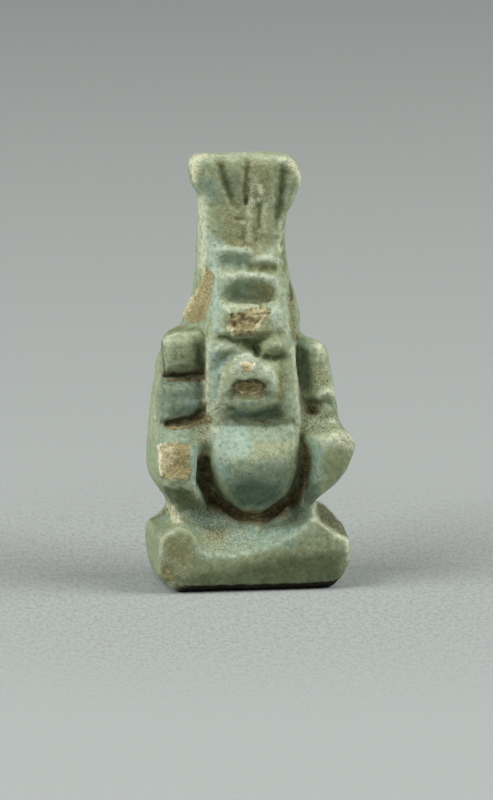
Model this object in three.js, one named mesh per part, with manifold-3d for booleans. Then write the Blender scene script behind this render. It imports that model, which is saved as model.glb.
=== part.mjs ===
// A small moulded faience amulet: the dwarf god Bes squatting on a plinth, with a crown of plumes.
// Millimetres, +Z up, the face looks along -Y, and the origin is under the middle of the bounding box.
import * as THREE from "three";
import { mergeVertices } from "three/addons/utils/BufferGeometryUtils.js";
import Module from "manifold-3d";

const wasm = await Module();
wasm.setup();

// Driving dimensions, in millimetres
const FIGURE_HEIGHT = 22.2;
const PLINTH_WIDTH = 11.4;
const PLINTH_DEPTH = 6.8;
const PLINTH_HEIGHT = 2.8;

// The figure is carved in hundredths of its own height, measured up from the top of the plinth
const UNIT = FIGURE_HEIGHT / 100;
const BACK = PLINTH_DEPTH / 2;

// Colour and finish
const FAIENCE = { color: 0x8a957a, roughness: 0.72, metalness: 0 };

// Turns a closed three.js geometry into a solid that can be joined and cut
function toSolid(geometry) {
  const bare = geometry.clone();
  bare.deleteAttribute("normal");
  bare.deleteAttribute("uv");
  const merged = mergeVertices(bare, 1e-5);
  return new wasm.Manifold(new wasm.Mesh({
    numProp: 3,
    vertProperties: new Float32Array(merged.attributes.position.array),
    triVerts: new Uint32Array(merged.index.array),
  }));
}

// Turns a solid back into a three.js geometry
function toGeometry(solid) {
  const mesh = solid.getMesh();
  const geometry = new THREE.BufferGeometry();
  geometry.setAttribute("position", new THREE.BufferAttribute(mesh.vertProperties, 3));
  geometry.setIndex(new THREE.BufferAttribute(mesh.triVerts, 1));
  geometry.computeVertexNormals();
  return geometry;
}

// A box whose grid of surface points, each coordinate from -1 to 1, is moved by place(point)
function shapedBox([across, deep, high], place) {
  const geometry = new THREE.BoxGeometry(2, 2, 2, across, deep, high);
  const points = geometry.attributes.position;
  const snap = (value) => Math.round(value * 1e5) / 1e5;
  for (let i = 0; i < points.count; i++) {
    const point = new THREE.Vector3(snap(points.getX(i)), snap(points.getY(i)), snap(points.getZ(i)));
    const moved = place(point);
    points.setXYZ(i, moved.x, moved.y, moved.z);
  }
  return toSolid(geometry);
}

// A smooth curve through [place, value] pairs, flat beyond its ends
function through(keys, place) {
  const last = keys.length - 1;
  if (place <= keys[0][0]) return keys[0][1];
  if (place >= keys[last][0]) return keys[last][1];
  let i = 0;
  while (place > keys[i + 1][0]) i++;
  const slope = (a, b) => (keys[b][1] - keys[a][1]) / (keys[b][0] - keys[a][0]);
  const span = keys[i + 1][0] - keys[i][0];
  const slopeIn = slope(Math.max(i - 1, 0), i + 1);
  const slopeOut = slope(i, Math.min(i + 2, last));
  const t = (place - keys[i][0]) / span;
  return keys[i][1] * (1 + 2 * t) * (1 - t) ** 2 + slopeIn * span * t * (1 - t) ** 2
    + keys[i + 1][1] * t * t * (3 - 2 * t) + slopeOut * span * t * t * (t - 1);
}

// From the figure's hundredths to millimetres
function carved(x, y, z) {
  return new THREE.Vector3(x * UNIT, y * UNIT, PLINTH_HEIGHT + z * UNIT);
}

// A rounded lump about a centre. Power 2 is an ellipsoid, and a higher power is squarer. The lump
// narrows upwards by the taper, leans by the lean, and turns about the depth axis by tilt degrees.
function lump({ centre, half, power = 3, grid = [6, 4, 6], taper = 0, lean = [0, 0], tilt = 0 }) {
  const turn = THREE.MathUtils.degToRad(tilt);
  return shapedBox(grid, (p) => {
    const norm = (Math.abs(p.x) ** power + Math.abs(p.y) ** power + Math.abs(p.z) ** power) ** (-1 / power);
    const q = p.multiplyScalar(norm);
    const x = half[0] * (q.x * (1 - taper * q.z) + lean[0] * q.z);
    const y = half[1] * (q.y + lean[1] * q.z);
    const z = half[2] * q.z;
    return carved(
      centre[0] + x * Math.cos(turn) - z * Math.sin(turn),
      centre[1] + y,
      centre[2] + x * Math.sin(turn) + z * Math.cos(turn),
    );
  });
}

// An upright form between two heights, with left, right and front outlines given as curves over the
// height. It runs out through the flat back, where the whole amulet is cut later.
function upright({ from, to, left, right, front, behind = 0, power = 8, grid = [8, 4, 20] }) {
  return shapedBox(grid, (p) => {
    const norm = Math.max(Math.abs(p.x), Math.abs(p.y))
      / ((Math.abs(p.x) ** power + Math.abs(p.y) ** power) ** (1 / power) || 1);
    const z = THREE.MathUtils.lerp(from, to, (p.z + 1) / 2);
    const u = p.x * norm;
    const v = p.y * norm;
    const near = through(front, z);
    const far = (BACK / UNIT) + 2;
    const narrowing = 1 - behind * (v + 1) / 2;
    const middle = (through(left, z) + through(right, z)) / 2;
    const halfWidth = (through(right, z) - through(left, z)) / 2;
    return carved(middle + u * halfWidth * narrowing, (near + far) / 2 + v * (far - near) / 2, z);
  });
}

// A round-ended groove between two points of the front, as a long lump to cut away
function groove({ from, to, width, depth, grid = [2, 3, 5] }) {
  const length = Math.hypot(to[0] - from[0], to[2] - from[2]);
  const tilt = THREE.MathUtils.radToDeg(Math.atan2(from[0] - to[0], to[2] - from[2]));
  const middle = from.map((value, axis) => (value + to[axis]) / 2);
  return lump({
    centre: middle,
    half: [width / 2, depth, length / 2],
    lean: [0, (to[1] - from[1]) / 2 / depth],
    power: 2.4,
    tilt,
    grid,
  });
}

// A rounded form that swells forward out of the figure between two heights, with its half width and
// its front given as curves over the height
function bulge({ from, to, middle, width, front, far = 3, power = 2, grid = [10, 4, 12] }) {
  return shapedBox(grid, (p) => {
    const norm = Math.max(Math.abs(p.x), Math.abs(p.y))
      / ((Math.abs(p.x) ** power + Math.abs(p.y) ** power) ** (1 / power) || 1);
    const z = THREE.MathUtils.lerp(from, to, (p.z + 1) / 2);
    const near = through(front, z);
    return carved(middle + p.x * norm * through(width, z), far + (near - far) * (1 - p.y * norm) / 2, z);
  });
}

// Plinth: flat below, with a foot on each side and a dished middle that rises to the back
function plinth() {
  const halfWidth = PLINTH_WIDTH / 2;
  const frontTop = [[-1, 1], [-0.8, 1.32], [-0.69, 1.22], [-0.55, 0.74], [-0.32, 0.62], [-0.05, 0.71],
    [0.38, 1.02], [0.61, 1.42], [0.8, 1.1], [1, 0.79]];
  const backTop = [[-1, 1.05], [-0.7, 1.14], [0, 1.2], [0.6, 1.2], [1, 1.14]];
  const endRound = [[0, 0.93], [0.2, 0.98], [0.5, 1], [1, 1]];
  const backNarrowing = 0.03;
  return shapedBox([20, 5, 3], (p) => {
    const rise = (p.z + 1) / 2;
    const toBack = THREE.MathUtils.smoothstep((p.y + 1) / 2, 0, 0.42);
    const top = PLINTH_HEIGHT * THREE.MathUtils.lerp(through(frontTop, p.x), through(backTop, p.x), toBack);
    const end = through(endRound, rise) * (1 - backNarrowing * (p.y + 1) / 2);
    return new THREE.Vector3(p.x * halfWidth * end, p.y * BACK, rise * top);
  });
}

// Slab that carries the legs, belly and arms, as wide as the mould
function bodySlab() {
  return upright({
    from: -3,
    to: 53.6,
    left: [[-3, -21.5], [5, -20], [10, -22.3], [16, -24.4], [26, -24.6], [38, -23.6], [48, -22.6], [53.6, -17]],
    right: [[-3, 21], [6, 18.7], [11, 21], [18, 23.8], [30, 24.8], [38, 23.4], [46, 22], [52, 15.6]],
    front: [[-3, 0], [5, 0], [30, 1], [53, 2]],
    grid: [6, 3, 16],
  });
}

// Narrow pillar behind the neck and the crown, flaring at the ears
function backPillar() {
  return upright({
    from: 44,
    to: 94,
    left: [[44, -14], [53, -15], [57.5, -15.8], [61, -13.4], [66, -12.2], [80, -11.7], [94, -11.4]],
    right: [[44, 16], [53, 16], [57, 15.6], [61, 13.8], [66, 12.8], [80, 11.8], [94, 11.6]],
    front: [[44, 2], [56, 4], [66, 3.5], [94, 3]],
    grid: [6, 3, 18],
  });
}

// Crown of plumes: a fan with a narrow foot, cut by grooves between the plumes
function crown() {
  const fan = upright({
    from: 70,
    to: 100,
    left: [[70, -8.6], [82, -8.4], [86, -9.4], [90, -12.4], [95, -15.2], [98, -15.5], [100, -14.8]],
    right: [[70, 9.4], [80, 9.8], [85, 11.8], [90, 14.8], [95, 17], [97.5, 16.4], [100, 13.4]],
    front: [[70, 1], [80, 1.2], [90, 2.2], [97.5, 1.8], [100, 2.7]],
    behind: 0.13,
    grid: [10, 3, 11],
  });
  const between = [
    { from: [-3.6, 1.8, 88.5], to: [-8.2, 2.2, 101], width: 1.6, depth: 1.6 },
    { from: [0.2, 1.4, 87], to: [1, 2.2, 102], width: 1.8, depth: 1.2 },
    { from: [3.9, 1.2, 82], to: [3.4, 1.8, 92], width: 1.3, depth: 1 },
    { from: [8.6, 1.6, 82], to: [11.6, 2.6, 99], width: 2.6, depth: 1.7 },
  ];
  return between.reduce((solid, line) => solid.subtract(groove(line)), fan);
}

// Stepped band under the plumes: two lips, each over a hollow
function band() {
  const block = upright({
    from: 54,
    to: 76,
    left: [[54, -11], [62, -10], [70, -9], [76, -8.8]],
    right: [[54, 11.8], [62, 10.6], [70, 9.4], [76, 9]],
    front: [[54, -4.6], [60, -4.4], [62, -3], [69, -2.4], [71, -1], [74.6, -0.6], [76, 0.8]],
    power: 5,
    grid: [8, 3, 11],
  });
  const upperLeft = lump({ centre: [-3.2, -0.9, 72.8], half: [5.2, 1.9, 2.3], tilt: -4, grid: [5, 3, 4] });
  const upperRight = lump({ centre: [4.6, -0.9, 71], half: [4.4, 1.8, 1.5], tilt: -5, grid: [4, 3, 3] });
  const lower = lump({ centre: [1, -2.6, 64.9], half: [8, 3.8, 3.7], power: 2.5, grid: [8, 4, 6] });
  return block.subtract(upperLeft).subtract(upperRight).subtract(lower);
}

// Head and chest in one upright mass, with the forehead in front of the eyes and a hollow under the chin
function head() {
  const mass = upright({
    from: 18,
    to: 60,
    left: [[18, -10.6], [40, -10.4], [60, -10.4]],
    right: [[18, 13.8], [32, 14], [44, 12.8], [60, 11.2]],
    front: [[18, -8], [30, -6.4], [40, -5], [50, -4.4], [60, -4]],
    power: 4,
    grid: [8, 3, 8],
  });
  const forehead = lump({ centre: [0.6, -3.4, 56.8], half: [9.4, 3.6, 4.6], power: 3, grid: [8, 3, 5] });
  const throat = lump({ centre: [1, -7, 32.2], half: [7.6, 3.4, 3], power: 2.4, tilt: -2, grid: [8, 4, 5] });
  return mass.add(forehead).subtract(throat);
}

// Face: eyes, nose, wide muzzle with its open mouth, and the ridge of the chin
function face() {
  const leftEye = lump({ centre: [-6, -3.6, 48.6], half: [4, 2, 2.8], power: 2, tilt: 22, grid: [6, 3, 4] });
  const rightEye = lump({ centre: [7.4, -3.6, 49.2], half: [3.4, 2, 2.2], power: 2, tilt: -12, grid: [6, 3, 4] });
  const muzzle = bulge({
    from: 37,
    to: 51.4,
    middle: -0.4,
    width: [[37, 5.6], [39, 6.8], [42, 7.2], [45, 6.6], [48, 4.6], [51.4, 2.6]],
    front: [[37, -8.8], [40, -10], [43, -10.2], [46.5, -9.4], [49, -7.2], [51.4, -5]],
    grid: [8, 4, 8],
  });
  const nostrils = lump({ centre: [-0.8, -7.8, 45.6], half: [4.6, 2.3, 2], power: 2.2, grid: [6, 3, 3] });
  const chin = lump({ centre: [0, -5, 36.3], half: [6.7, 4.8, 1.3], power: 3, grid: [8, 3, 3] });
  const mouth = lump({ centre: [-0.5, -10.8, 40.3], half: [5.6, 2.6, 3.2], power: 2.2, grid: [8, 4, 6] });
  const leftSlit = groove({ from: [-8.8, -5.2, 46], to: [-3, -5.2, 49.8], width: 1.3, depth: 1.2 });
  const rightSlit = lump({ centre: [6.9, -5, 47], half: [2.6, 1.8, 1.3], power: 2, grid: [4, 3, 3] });
  return leftEye.add(rightEye).add(muzzle).add(nostrils).add(chin)
    .subtract(mouth).subtract(leftSlit).subtract(rightSlit);
}

// Belly hanging between the legs, grown to the sides and below by the width of the groove around it
function belly({ grown = 0, far = 3 } = {}) {
  const top = 29.6;
  const bottom = 4.8;
  const lowered = (z) => z - grown * (top - z) / (top - bottom);
  const width = [[bottom, 2.2], [6.3, 4.8], [9.8, 7.8], [14, 10], [21, 11.9], [26, 12.1]];
  const front = [[bottom, -6], [7, -8.6], [10, -10.6], [14, -12.2], [20, -12.4], [25, -9.4], [top, -6.2]];
  return bulge({
    from: lowered(bottom),
    to: top,
    middle: 1.4,
    width: width.map(([z, half]) => [lowered(z), half + grown]),
    front: front.map(([z, y]) => [lowered(z), y]),
    far,
    power: 2.2,
    grid: [10, 3, 11],
  });
}

// Bent arms: on one side an upper arm over a forearm, on the other one worn mass over the hand
function arms() {
  const upperArm = lump({
    centre: [-16.9, 0.4, 48.4], half: [5.7, 5.4, 4.5], power: 5, taper: 0.05, tilt: 3, grid: [5, 4, 5],
  });
  const forearm = lump({ centre: [-17.6, -0.2, 37], half: [6.4, 6.2, 5], power: 5, tilt: 6, grid: [5, 4, 5] });
  const wornArm = lump({
    centre: [18.9, 0, 42.6], half: [3.9, 5.6, 6.8], power: 3.4, lean: [-0.3, 0.12], grid: [6, 4, 6],
  });
  const hand = lump({ centre: [19.2, 1, 27.4], half: [5.4, 6, 3.8], power: 4, grid: [6, 4, 4] });
  return upperArm.add(forearm).add(wornArm).add(hand);
}

// Bowed legs, each a knee block that tapers down to the ankle, and the low web that joins them
function legs() {
  const left = upright({
    from: -1,
    to: 29,
    left: [[-1, -19.4], [6, -20], [12, -23.4], [17, -25.2], [25, -25.4], [29, -24.4]],
    right: [[-1, -12.6], [7, -13], [13, -14.6], [20, -14.2], [29, -13.2]],
    front: [[-1, -8.4], [5, -6.6], [12, -11], [16, -12.4], [24, -12], [27, -10.4], [29, -8]],
    power: 6,
    grid: [5, 3, 11],
  });
  const right = upright({
    from: -1,
    to: 27.6,
    left: [[-1, 12.4], [8, 13.4], [14, 14.8], [20, 15.4], [25, 15.4], [27.6, 18]],
    right: [[-1, 18], [6.5, 18], [12, 21.8], [17.5, 26.6], [23, 28.4], [26, 27.8], [27.6, 26]],
    front: [[-1, -8.4], [6, -6.8], [14, -9.6], [21, -11.8], [25.6, -11.4], [27.6, -9.6]],
    power: 6,
    grid: [5, 3, 11],
  });
  const web = lump({ centre: [0.6, 1, 0], half: [15, 7, 9.6], power: 3, grid: [7, 4, 4] });
  return left.add(right).add(web).subtract(belly({ grown: 3.2, far: 20 }));
}

// Old chips and losses: forehead, side of the pillar, knee, corner of the plinth, and a pit by the hand
function chips() {
  return [
    lump({ centre: [-0.4, -8.8, 57.2], half: [7, 3, 4.1], power: 2.8, tilt: 16, grid: [5, 3, 4] }),
    lump({ centre: [-15.6, 6.2, 61], half: [3, 4.2, 8.4], power: 3, tilt: -14, grid: [4, 3, 6] }),
    lump({ centre: [-21.2, -14, 20.4], half: [4.6, 2.4, 5.4], power: 4, grid: [4, 3, 4] }),
    lump({ centre: [18.2, -2, 32.4], half: [1.7, 5, 1.7], power: 2, grid: [4, 4, 4] }),
    lump({ centre: [-26, -16, -12.8], half: [6, 4, 2.6], power: 2.4, tilt: -32, grid: [4, 4, 4] }),
    lump({ centre: [27.4, -8, -12.6], half: [6, 14, 2.6], power: 2.4, tilt: 42, grid: [4, 4, 4] }),
  ];
}

// Everything behind the flat back and below the flat underside is cut away
function trim(solid) {
  const room = 4 * FIGURE_HEIGHT;
  const keep = new THREE.BoxGeometry(room, room, room);
  keep.translate(0, BACK - room / 2, room / 2);
  return solid.intersect(toSolid(keep));
}

// The joined forms, cut, trimmed and set over the middle of their own footprint
function amulet() {
  const forms = [plinth(), bodySlab(), legs(), backPillar(), crown(), band(), head(), face(), belly(), arms()];
  const joined = forms.reduce((solid, form) => solid.add(form));
  const chipped = chips().reduce((solid, chip) => solid.subtract(chip), joined);
  const geometry = toGeometry(trim(chipped));
  geometry.computeBoundingBox();
  const middle = geometry.boundingBox.getCenter(new THREE.Vector3());
  geometry.translate(-middle.x, -middle.y, 0);
  return geometry;
}

const figure = new THREE.Group();
const faience = new THREE.MeshStandardMaterial(FAIENCE);
const bes = new THREE.Mesh(amulet(), faience);
bes.name = "bes_amulet";
figure.add(bes);

export default figure;
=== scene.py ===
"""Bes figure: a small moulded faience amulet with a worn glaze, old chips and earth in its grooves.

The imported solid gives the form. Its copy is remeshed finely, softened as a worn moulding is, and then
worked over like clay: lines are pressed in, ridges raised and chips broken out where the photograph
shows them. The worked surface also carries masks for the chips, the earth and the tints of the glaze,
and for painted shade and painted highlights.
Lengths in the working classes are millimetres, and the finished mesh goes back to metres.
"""

from __future__ import annotations

import logging
import math
from dataclasses import dataclass, field
from enum import Enum

import bmesh
import bpy
import numpy as np
from mathutils import Matrix, Vector, noise
from mathutils.bvhtree import BVHTree


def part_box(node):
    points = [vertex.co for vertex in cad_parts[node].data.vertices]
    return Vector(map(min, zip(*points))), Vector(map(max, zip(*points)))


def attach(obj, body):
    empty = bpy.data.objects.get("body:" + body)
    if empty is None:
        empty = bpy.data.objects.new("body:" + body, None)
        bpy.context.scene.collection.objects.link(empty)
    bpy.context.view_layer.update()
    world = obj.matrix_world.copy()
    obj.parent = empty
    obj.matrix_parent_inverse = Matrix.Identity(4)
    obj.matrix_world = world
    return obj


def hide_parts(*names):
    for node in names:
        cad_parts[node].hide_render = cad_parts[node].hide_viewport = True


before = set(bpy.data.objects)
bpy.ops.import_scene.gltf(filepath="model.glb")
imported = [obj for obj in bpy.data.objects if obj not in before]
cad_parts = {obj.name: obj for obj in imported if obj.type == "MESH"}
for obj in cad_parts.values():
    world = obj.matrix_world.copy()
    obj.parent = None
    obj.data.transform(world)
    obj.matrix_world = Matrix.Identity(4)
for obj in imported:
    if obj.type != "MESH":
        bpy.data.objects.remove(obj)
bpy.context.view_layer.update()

LOG = logging.getLogger("bes_figure")
MM = 0.001
NODE = "bes_amulet"
Point = tuple[float, float]
Colour = tuple[float, float, float]
Point3 = tuple[float, float, float]
Socket = bpy.types.NodeSocket
Tree = bpy.types.NodeTree


class Mask(Enum):
    """Names of the point attributes that the glaze reads."""

    CHIP = "chip"
    # The earth mask lays burial earth in the grooves, and together with the dark mask the painted shadow
    # under the foot.
    EARTH_AND_SHADE = "earth"
    AQUA = "aqua"
    OLIVE = "olive"
    # The pale mask lays rubbed wear and also painted highlights on lit faces and edges.
    PALE_AND_HIGHLIGHT = "pale"
    # The dark mask lays painted shade in recesses, grooves, under ledges and on faces turned from the lamps,
    # and some darker glaze.
    DARK = "dark"
    # The hollow mask darkens the colour in concave places, a painted shade.
    HOLLOW = "hollow"
    RIDGE = "ridge"
    GRIT = "grit"
    # The cream mask lays the pale core, and in a few strokes painted highlights.
    CREAM = "cream"


def smoothstep(low: float, high: float, value: np.ndarray) -> np.ndarray:
    """Ease values from 0 at low to 1 at high.

    Args:
        low: Value at which the result leaves 0.
        high: Value at which the result reaches 1.
        value: The values.

    Returns:
        The eased values.
    """
    t = np.clip((value - low) / (high - low), 0.0, 1.0)
    return t * t * (3.0 - 2.0 * t)


def thin_plate(knots: np.ndarray, values: np.ndarray, targets: np.ndarray) -> np.ndarray:
    """Spread values smoothly from a few points over many.

    Args:
        knots: Points with known values, one pair a row.
        values: The known values.
        targets: Points to find values for, one pair a row.

    Returns:
        The values at the targets.
    """
    centre = knots.mean(axis=0)
    size = np.abs(knots - centre).max() + 1e-9

    def bend(first: np.ndarray, second: np.ndarray) -> np.ndarray:
        """Find the bending kernel between two sets of points.

        Args:
            first: Points, one pair a row.
            second: Points, one pair a row.

        Returns:
            A row for each first point and a column for each second one.
        """
        gap = np.linalg.norm(first[:, None] - second[None], axis=2)
        return gap**2 * np.log(gap + 1e-9)

    known, wanted = (knots - centre) / size, (targets - centre) / size
    count = len(known)
    flat = np.hstack([np.ones((count, 1)), known])
    system = np.zeros((count + 3, count + 3))
    system[:count, :count] = bend(known, known)
    system[:count, count:], system[count:, :count] = flat, flat.T
    weights = np.linalg.lstsq(system, np.concatenate([values, np.zeros(3)]), rcond=None)[0]
    level = np.hstack([np.ones((len(wanted), 1)), wanted]) @ weights[count:]
    return bend(wanted, known) @ weights[:count] + level


@dataclass(frozen=True)
class PhotoView:
    """The photograph's viewpoint, used for the camera and to find places on the photographed side.

    Attributes:
        azimuth: Turn of the camera about the figure, in degrees, negative towards the figure's -X side.
        elevation: Height of the camera above the level, in degrees.
        distance: Camera to figure, in millimetres.
        scale: Picture pixels per millimetre at the figure.
        width: Picture width in pixels.
        height: Picture height in pixels.
        foot: Picture point of the frame's origin.
    """

    azimuth: float = -8.5
    elevation: float = 10.5
    distance: float = 450.0
    scale: float = 17.03
    width: int = 493
    height: int = 800
    foot: Point = (251.3, 580.5)

    def axes(self) -> tuple[np.ndarray, np.ndarray, np.ndarray]:
        """Return the picture's right, its up, and the way back to the camera, as unit vectors."""
        turn = math.radians(self.azimuth)
        rise = math.radians(self.elevation)
        right = np.array([math.cos(turn), math.sin(turn), 0.0])
        back = np.array([math.sin(turn) * math.cos(rise), -math.cos(turn) * math.cos(rise), math.sin(rise)])
        return right, np.cross(back, right), back

    def aim(self) -> np.ndarray:
        """Return the point that the middle of the picture looks at, in millimetres."""
        right, up, _ = self.axes()
        across = (self.width / 2 - self.foot[0]) / self.scale
        above = (self.foot[1] - self.height / 2) / self.scale
        return right * across + up * above

    def project(self, points: np.ndarray) -> tuple[np.ndarray, np.ndarray]:
        """Find where points fall in the picture and how near they are.

        Args:
            points: Points in millimetres, one a row.

        Returns:
            Picture coordinates in pixels, one pair a row, and millimetres towards the camera.
        """
        right, up, back = self.axes()
        offset = points - self.aim()
        near = offset @ back
        scale = self.scale * self.distance / (self.distance - near)
        across = self.width / 2 + (offset @ right) * scale
        down = self.height / 2 - (offset @ up) * scale
        return np.stack([across, down], axis=1), near

    def rays(self, points: np.ndarray) -> np.ndarray:
        """Find the way to the camera.

        Args:
            points: Points in millimetres, one a row.

        Returns:
            A unit vector for each point.
        """
        way = self.eye() - points
        return way / np.linalg.norm(way, axis=1, keepdims=True)

    def eye(self) -> np.ndarray:
        """Return the camera's place in millimetres."""
        return self.aim() + self.axes()[2] * self.distance


def spots(text: str) -> tuple[Point, ...]:
    """Read pairs of numbers.

    Args:
        text: The pairs, as in "12,30 14.5,34".

    Returns:
        The pairs as numbers.
    """
    return tuple(tuple(float(number) for number in pair.split(",")) for pair in text.split())


@dataclass(frozen=True)
class Stroke:
    """A line on the photographed side that is pressed in, raised or painted.

    Attributes:
        path: Picture points that the line runs through.
        width: Full width at the start and at the end, in picture pixels.
        lift: How far the surface moves out, in millimetres. A negative lift presses it in.
        masks: Masks that the line also paints, with their strengths.
    """

    path: tuple[Point, ...]
    width: tuple[float, float]
    lift: float
    masks: tuple[tuple[Mask, float], ...]


@dataclass(frozen=True)
class Form:
    """A form of the photographed side, given by level sections.

    Attributes:
        outline: Picture points around the form.
        knots: Picture column, picture row and height towards the viewer in millimetres, one point a row.
        edge: Width of the soft edge, in picture pixels.
        reach: Greatest move in millimetres, past which a point belongs to another form and stays.
    """

    outline: tuple[Point, ...]
    knots: np.ndarray
    edge: float = 3.0
    reach: float = 2.2


@dataclass(frozen=True)
class Patch:
    """An outlined area on the photographed side that is sunk, raised, roughened or painted.

    Attributes:
        outline: Picture points around the area.
        edge: Width of the soft edge, in picture pixels.
        lift: How far the surface moves out, in millimetres.
        rough: Height of the broken surface's lumps, in millimetres.
        grain: Size of those lumps, in millimetres.
        masks: Masks that the area also paints, with their strengths.
    """

    outline: tuple[Point, ...]
    edge: float
    lift: float
    rough: float
    grain: float
    masks: tuple[tuple[Mask, float], ...]


def paints(strengths: dict[str, float]) -> tuple[tuple[Mask, float], ...]:
    """Pair masks with their strengths.

    Args:
        strengths: Strengths by the masks' values.

    Returns:
        The pairs. A negative strength takes paint away.
    """
    return tuple((Mask(name), strength) for name, strength in strengths.items())


def line(path: str, start: float, end: float, lift: float = 0.0, **masks: float) -> Stroke:
    """Write a stroke in short.

    Args:
        path: Its picture points.
        start: Full width at its start.
        end: Full width at its end.
        lift: How far the surface moves out.
        **masks: Strengths of the masks that it paints.

    Returns:
        The stroke.
    """
    return Stroke(spots(path), (start, end), lift, paints(masks))


def area(
    outline: str, edge: float, lift: float = 0.0, rough: float = 0.0, grain: float = 0.3, **masks: float
) -> Patch:
    """Write a patch in short.

    Args:
        outline: Its picture points.
        edge: Width of its soft edge.
        lift: How far the surface moves out.
        rough: Height of its lumps.
        grain: Size of its lumps.
        **masks: Strengths of the masks that it paints.

    Returns:
        The patch.
    """
    return Patch(spots(outline), edge, lift, rough, grain, paints(masks))


def relief(outline: str, sections: dict[float, str]) -> Form:
    """Write a form in short.

    Args:
        outline: Its picture points.
        sections: For each picture row, picture columns with the heights towards the viewer there.

    Returns:
        The form.
    """
    knots = [(x, y, near) for y, section in sections.items() for x, near in spots(section)]
    return Form(spots(outline), np.array(knots))


class Clay:
    """A fine copy of the solid's surface that can be worked by vertex moves, in millimetres.

    Attributes:
        wobble_seeds: Noise offsets of the fraying shift, across and down.
        seed_step: Step between the noise offsets of one patch and the next.
        layers: Fading and refining from one layer of noise to the next.
        grazing: Cosines of the angle to the camera between which the surface comes into sight.
        clearance: Start of a sight ray off the surface, along the normal and to the camera, in millimetres.
        in_and_out: Shares of averaging that smooth without shrinking.
        heading: Rounds of averaging that smooth the normals for a move.
        felt: Rounds of averaging and gains that show the small and the large hollows.
        felt_most: Most that either of them adds.
        row: Height of the rows in which an outline is read, in picture pixels.
        furthest: Greatest shift of an outline at a time, in picture pixels.
        lead: Height at the top of an outline over which the shift comes in, in picture pixels.
    """

    wobble_seeds = (21.0, 34.0)
    seed_step = 3.7
    layers = (0.9, 2.1)
    grazing = (-0.05, 0.2)
    clearance = (0.05, 0.1)
    in_and_out = (0.5, -0.53)
    heading = 4
    felt = ((6, 14.0), (40, 6.0))
    felt_most = 0.6
    row = 2.0
    furthest = 6.0
    lead = 6.0

    def __init__(self, mesh: bpy.types.Mesh, view: PhotoView) -> None:
        """Read a mesh and find what the photograph's view sees of it.

        Args:
            mesh: The mesh to work, in millimetres.
            view: The photograph's viewpoint.
        """
        self.mesh = mesh
        self.view = view
        count = len(mesh.vertices)
        flat = np.empty(count * 3, dtype=np.float32)
        mesh.vertices.foreach_get("co", flat)
        self.points = flat.reshape(-1, 3).astype(float)
        ends = np.empty(len(mesh.edges) * 2, dtype=np.int32)
        mesh.edges.foreach_get("vertices", ends)
        self.ends = ends.reshape(-1, 2)
        both = np.concatenate([self.ends[:, 0], self.ends[:, 1]])
        self.degree = np.bincount(both, minlength=count).astype(float)
        self.masks = {mask: np.zeros(count) for mask in Mask}
        self.seen = np.ones(count)
        self.wobble = np.zeros((count, 2))
        self.refresh()

    def refresh(self) -> None:
        """Write the points back, then read the normals and the picture places again."""
        self.mesh.vertices.foreach_set("co", self.points.astype(np.float32).ravel())
        self.mesh.update()
        flat = np.empty(len(self.points) * 3, dtype=np.float32)
        self.mesh.vertex_normals.foreach_get("vector", flat)
        self.normals = flat.reshape(-1, 3).astype(float)
        self.picture, self.near = self.view.project(self.points)

    def set_wobble(self, size: float, reach: float) -> None:
        """Make the uneven shift that frays the edges of lines and patches.

        Args:
            size: Size of its lumps in millimetres.
            reach: Its usual greatest shift, in picture pixels.
        """
        self.wobble = np.stack([self.lumps(size, seed, 3) for seed in self.wobble_seeds], axis=1) * reach

    def find_seen(self, rings: int = 2) -> None:
        """Mark the points that the camera sees, with soft borders.

        Args:
            rings: Rounds of averaging that soften the borders.
        """
        polygons = [tuple(polygon.vertices) for polygon in self.mesh.polygons]
        tree = BVHTree.FromPolygons([tuple(point) for point in self.points], polygons)
        back = self.view.axes()[2]
        facing = self.normals @ back
        seen = smoothstep(*self.grazing, facing)
        lifted = self.points + self.normals * self.clearance[0] + back * self.clearance[1]
        way = Vector(back)
        for index in np.nonzero(facing > 0.0)[0]:
            if tree.ray_cast(Vector(lifted[index]), way)[0] is not None:
                seen[index] = 0.0
        self.seen = self.averaged(seen, rings)

    def averaged(self, values: np.ndarray, rounds: int, share: float = 0.5) -> np.ndarray:
        """Blend values with those of their neighbours.

        Args:
            values: One value or one row for each point.
            rounds: How many times.
            share: How much of the neighbours' mean is taken each time.

        Returns:
            The blended values.
        """
        result = values.copy()
        columns = result.reshape(len(result), -1)
        first, second = self.ends[:, 0], self.ends[:, 1]
        for _ in range(rounds):
            for column in range(columns.shape[1]):
                value = columns[:, column]
                total = np.bincount(first, weights=value[second], minlength=len(value))
                total += np.bincount(second, weights=value[first], minlength=len(value))
                columns[:, column] = value * (1 - share) + share * total / self.degree
        return result

    def soften(self, rounds: int) -> None:
        """Round the surface off.

        Args:
            rounds: How many times the points move towards their neighbours.
        """
        self.points = self.averaged(self.points, rounds)
        self.refresh()

    def smooth_steps(self, rounds: int) -> None:
        """Take the remesher's small steps out of the surface without shrinking it.

        Args:
            rounds: How many times the points move in and back out.
        """
        for _ in range(rounds):
            for share in self.in_and_out:
                self.points = self.averaged(self.points, 1, share)
        self.refresh()

    def move(self, amount: np.ndarray) -> None:
        """Move each point along a smoothed normal.

        Args:
            amount: Millimetres outwards for each point.
        """
        direction = self.averaged(self.normals, self.heading)
        direction /= np.linalg.norm(direction, axis=1, keepdims=True) + 1e-9
        self.points += direction * amount[:, None]
        self.refresh()

    def paint(self, masks: tuple[tuple[Mask, float], ...], weight: np.ndarray) -> None:
        """Lay masks on by weight, keeping what is already stronger.

        Args:
            masks: Masks with their strengths. A negative strength takes paint away.
            weight: Weight for each point.
        """
        for mask, strength in masks:
            if strength < 0:
                self.masks[mask] *= 1.0 + strength * weight
            else:
                self.masks[mask] = np.maximum(self.masks[mask], weight * strength)

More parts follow.
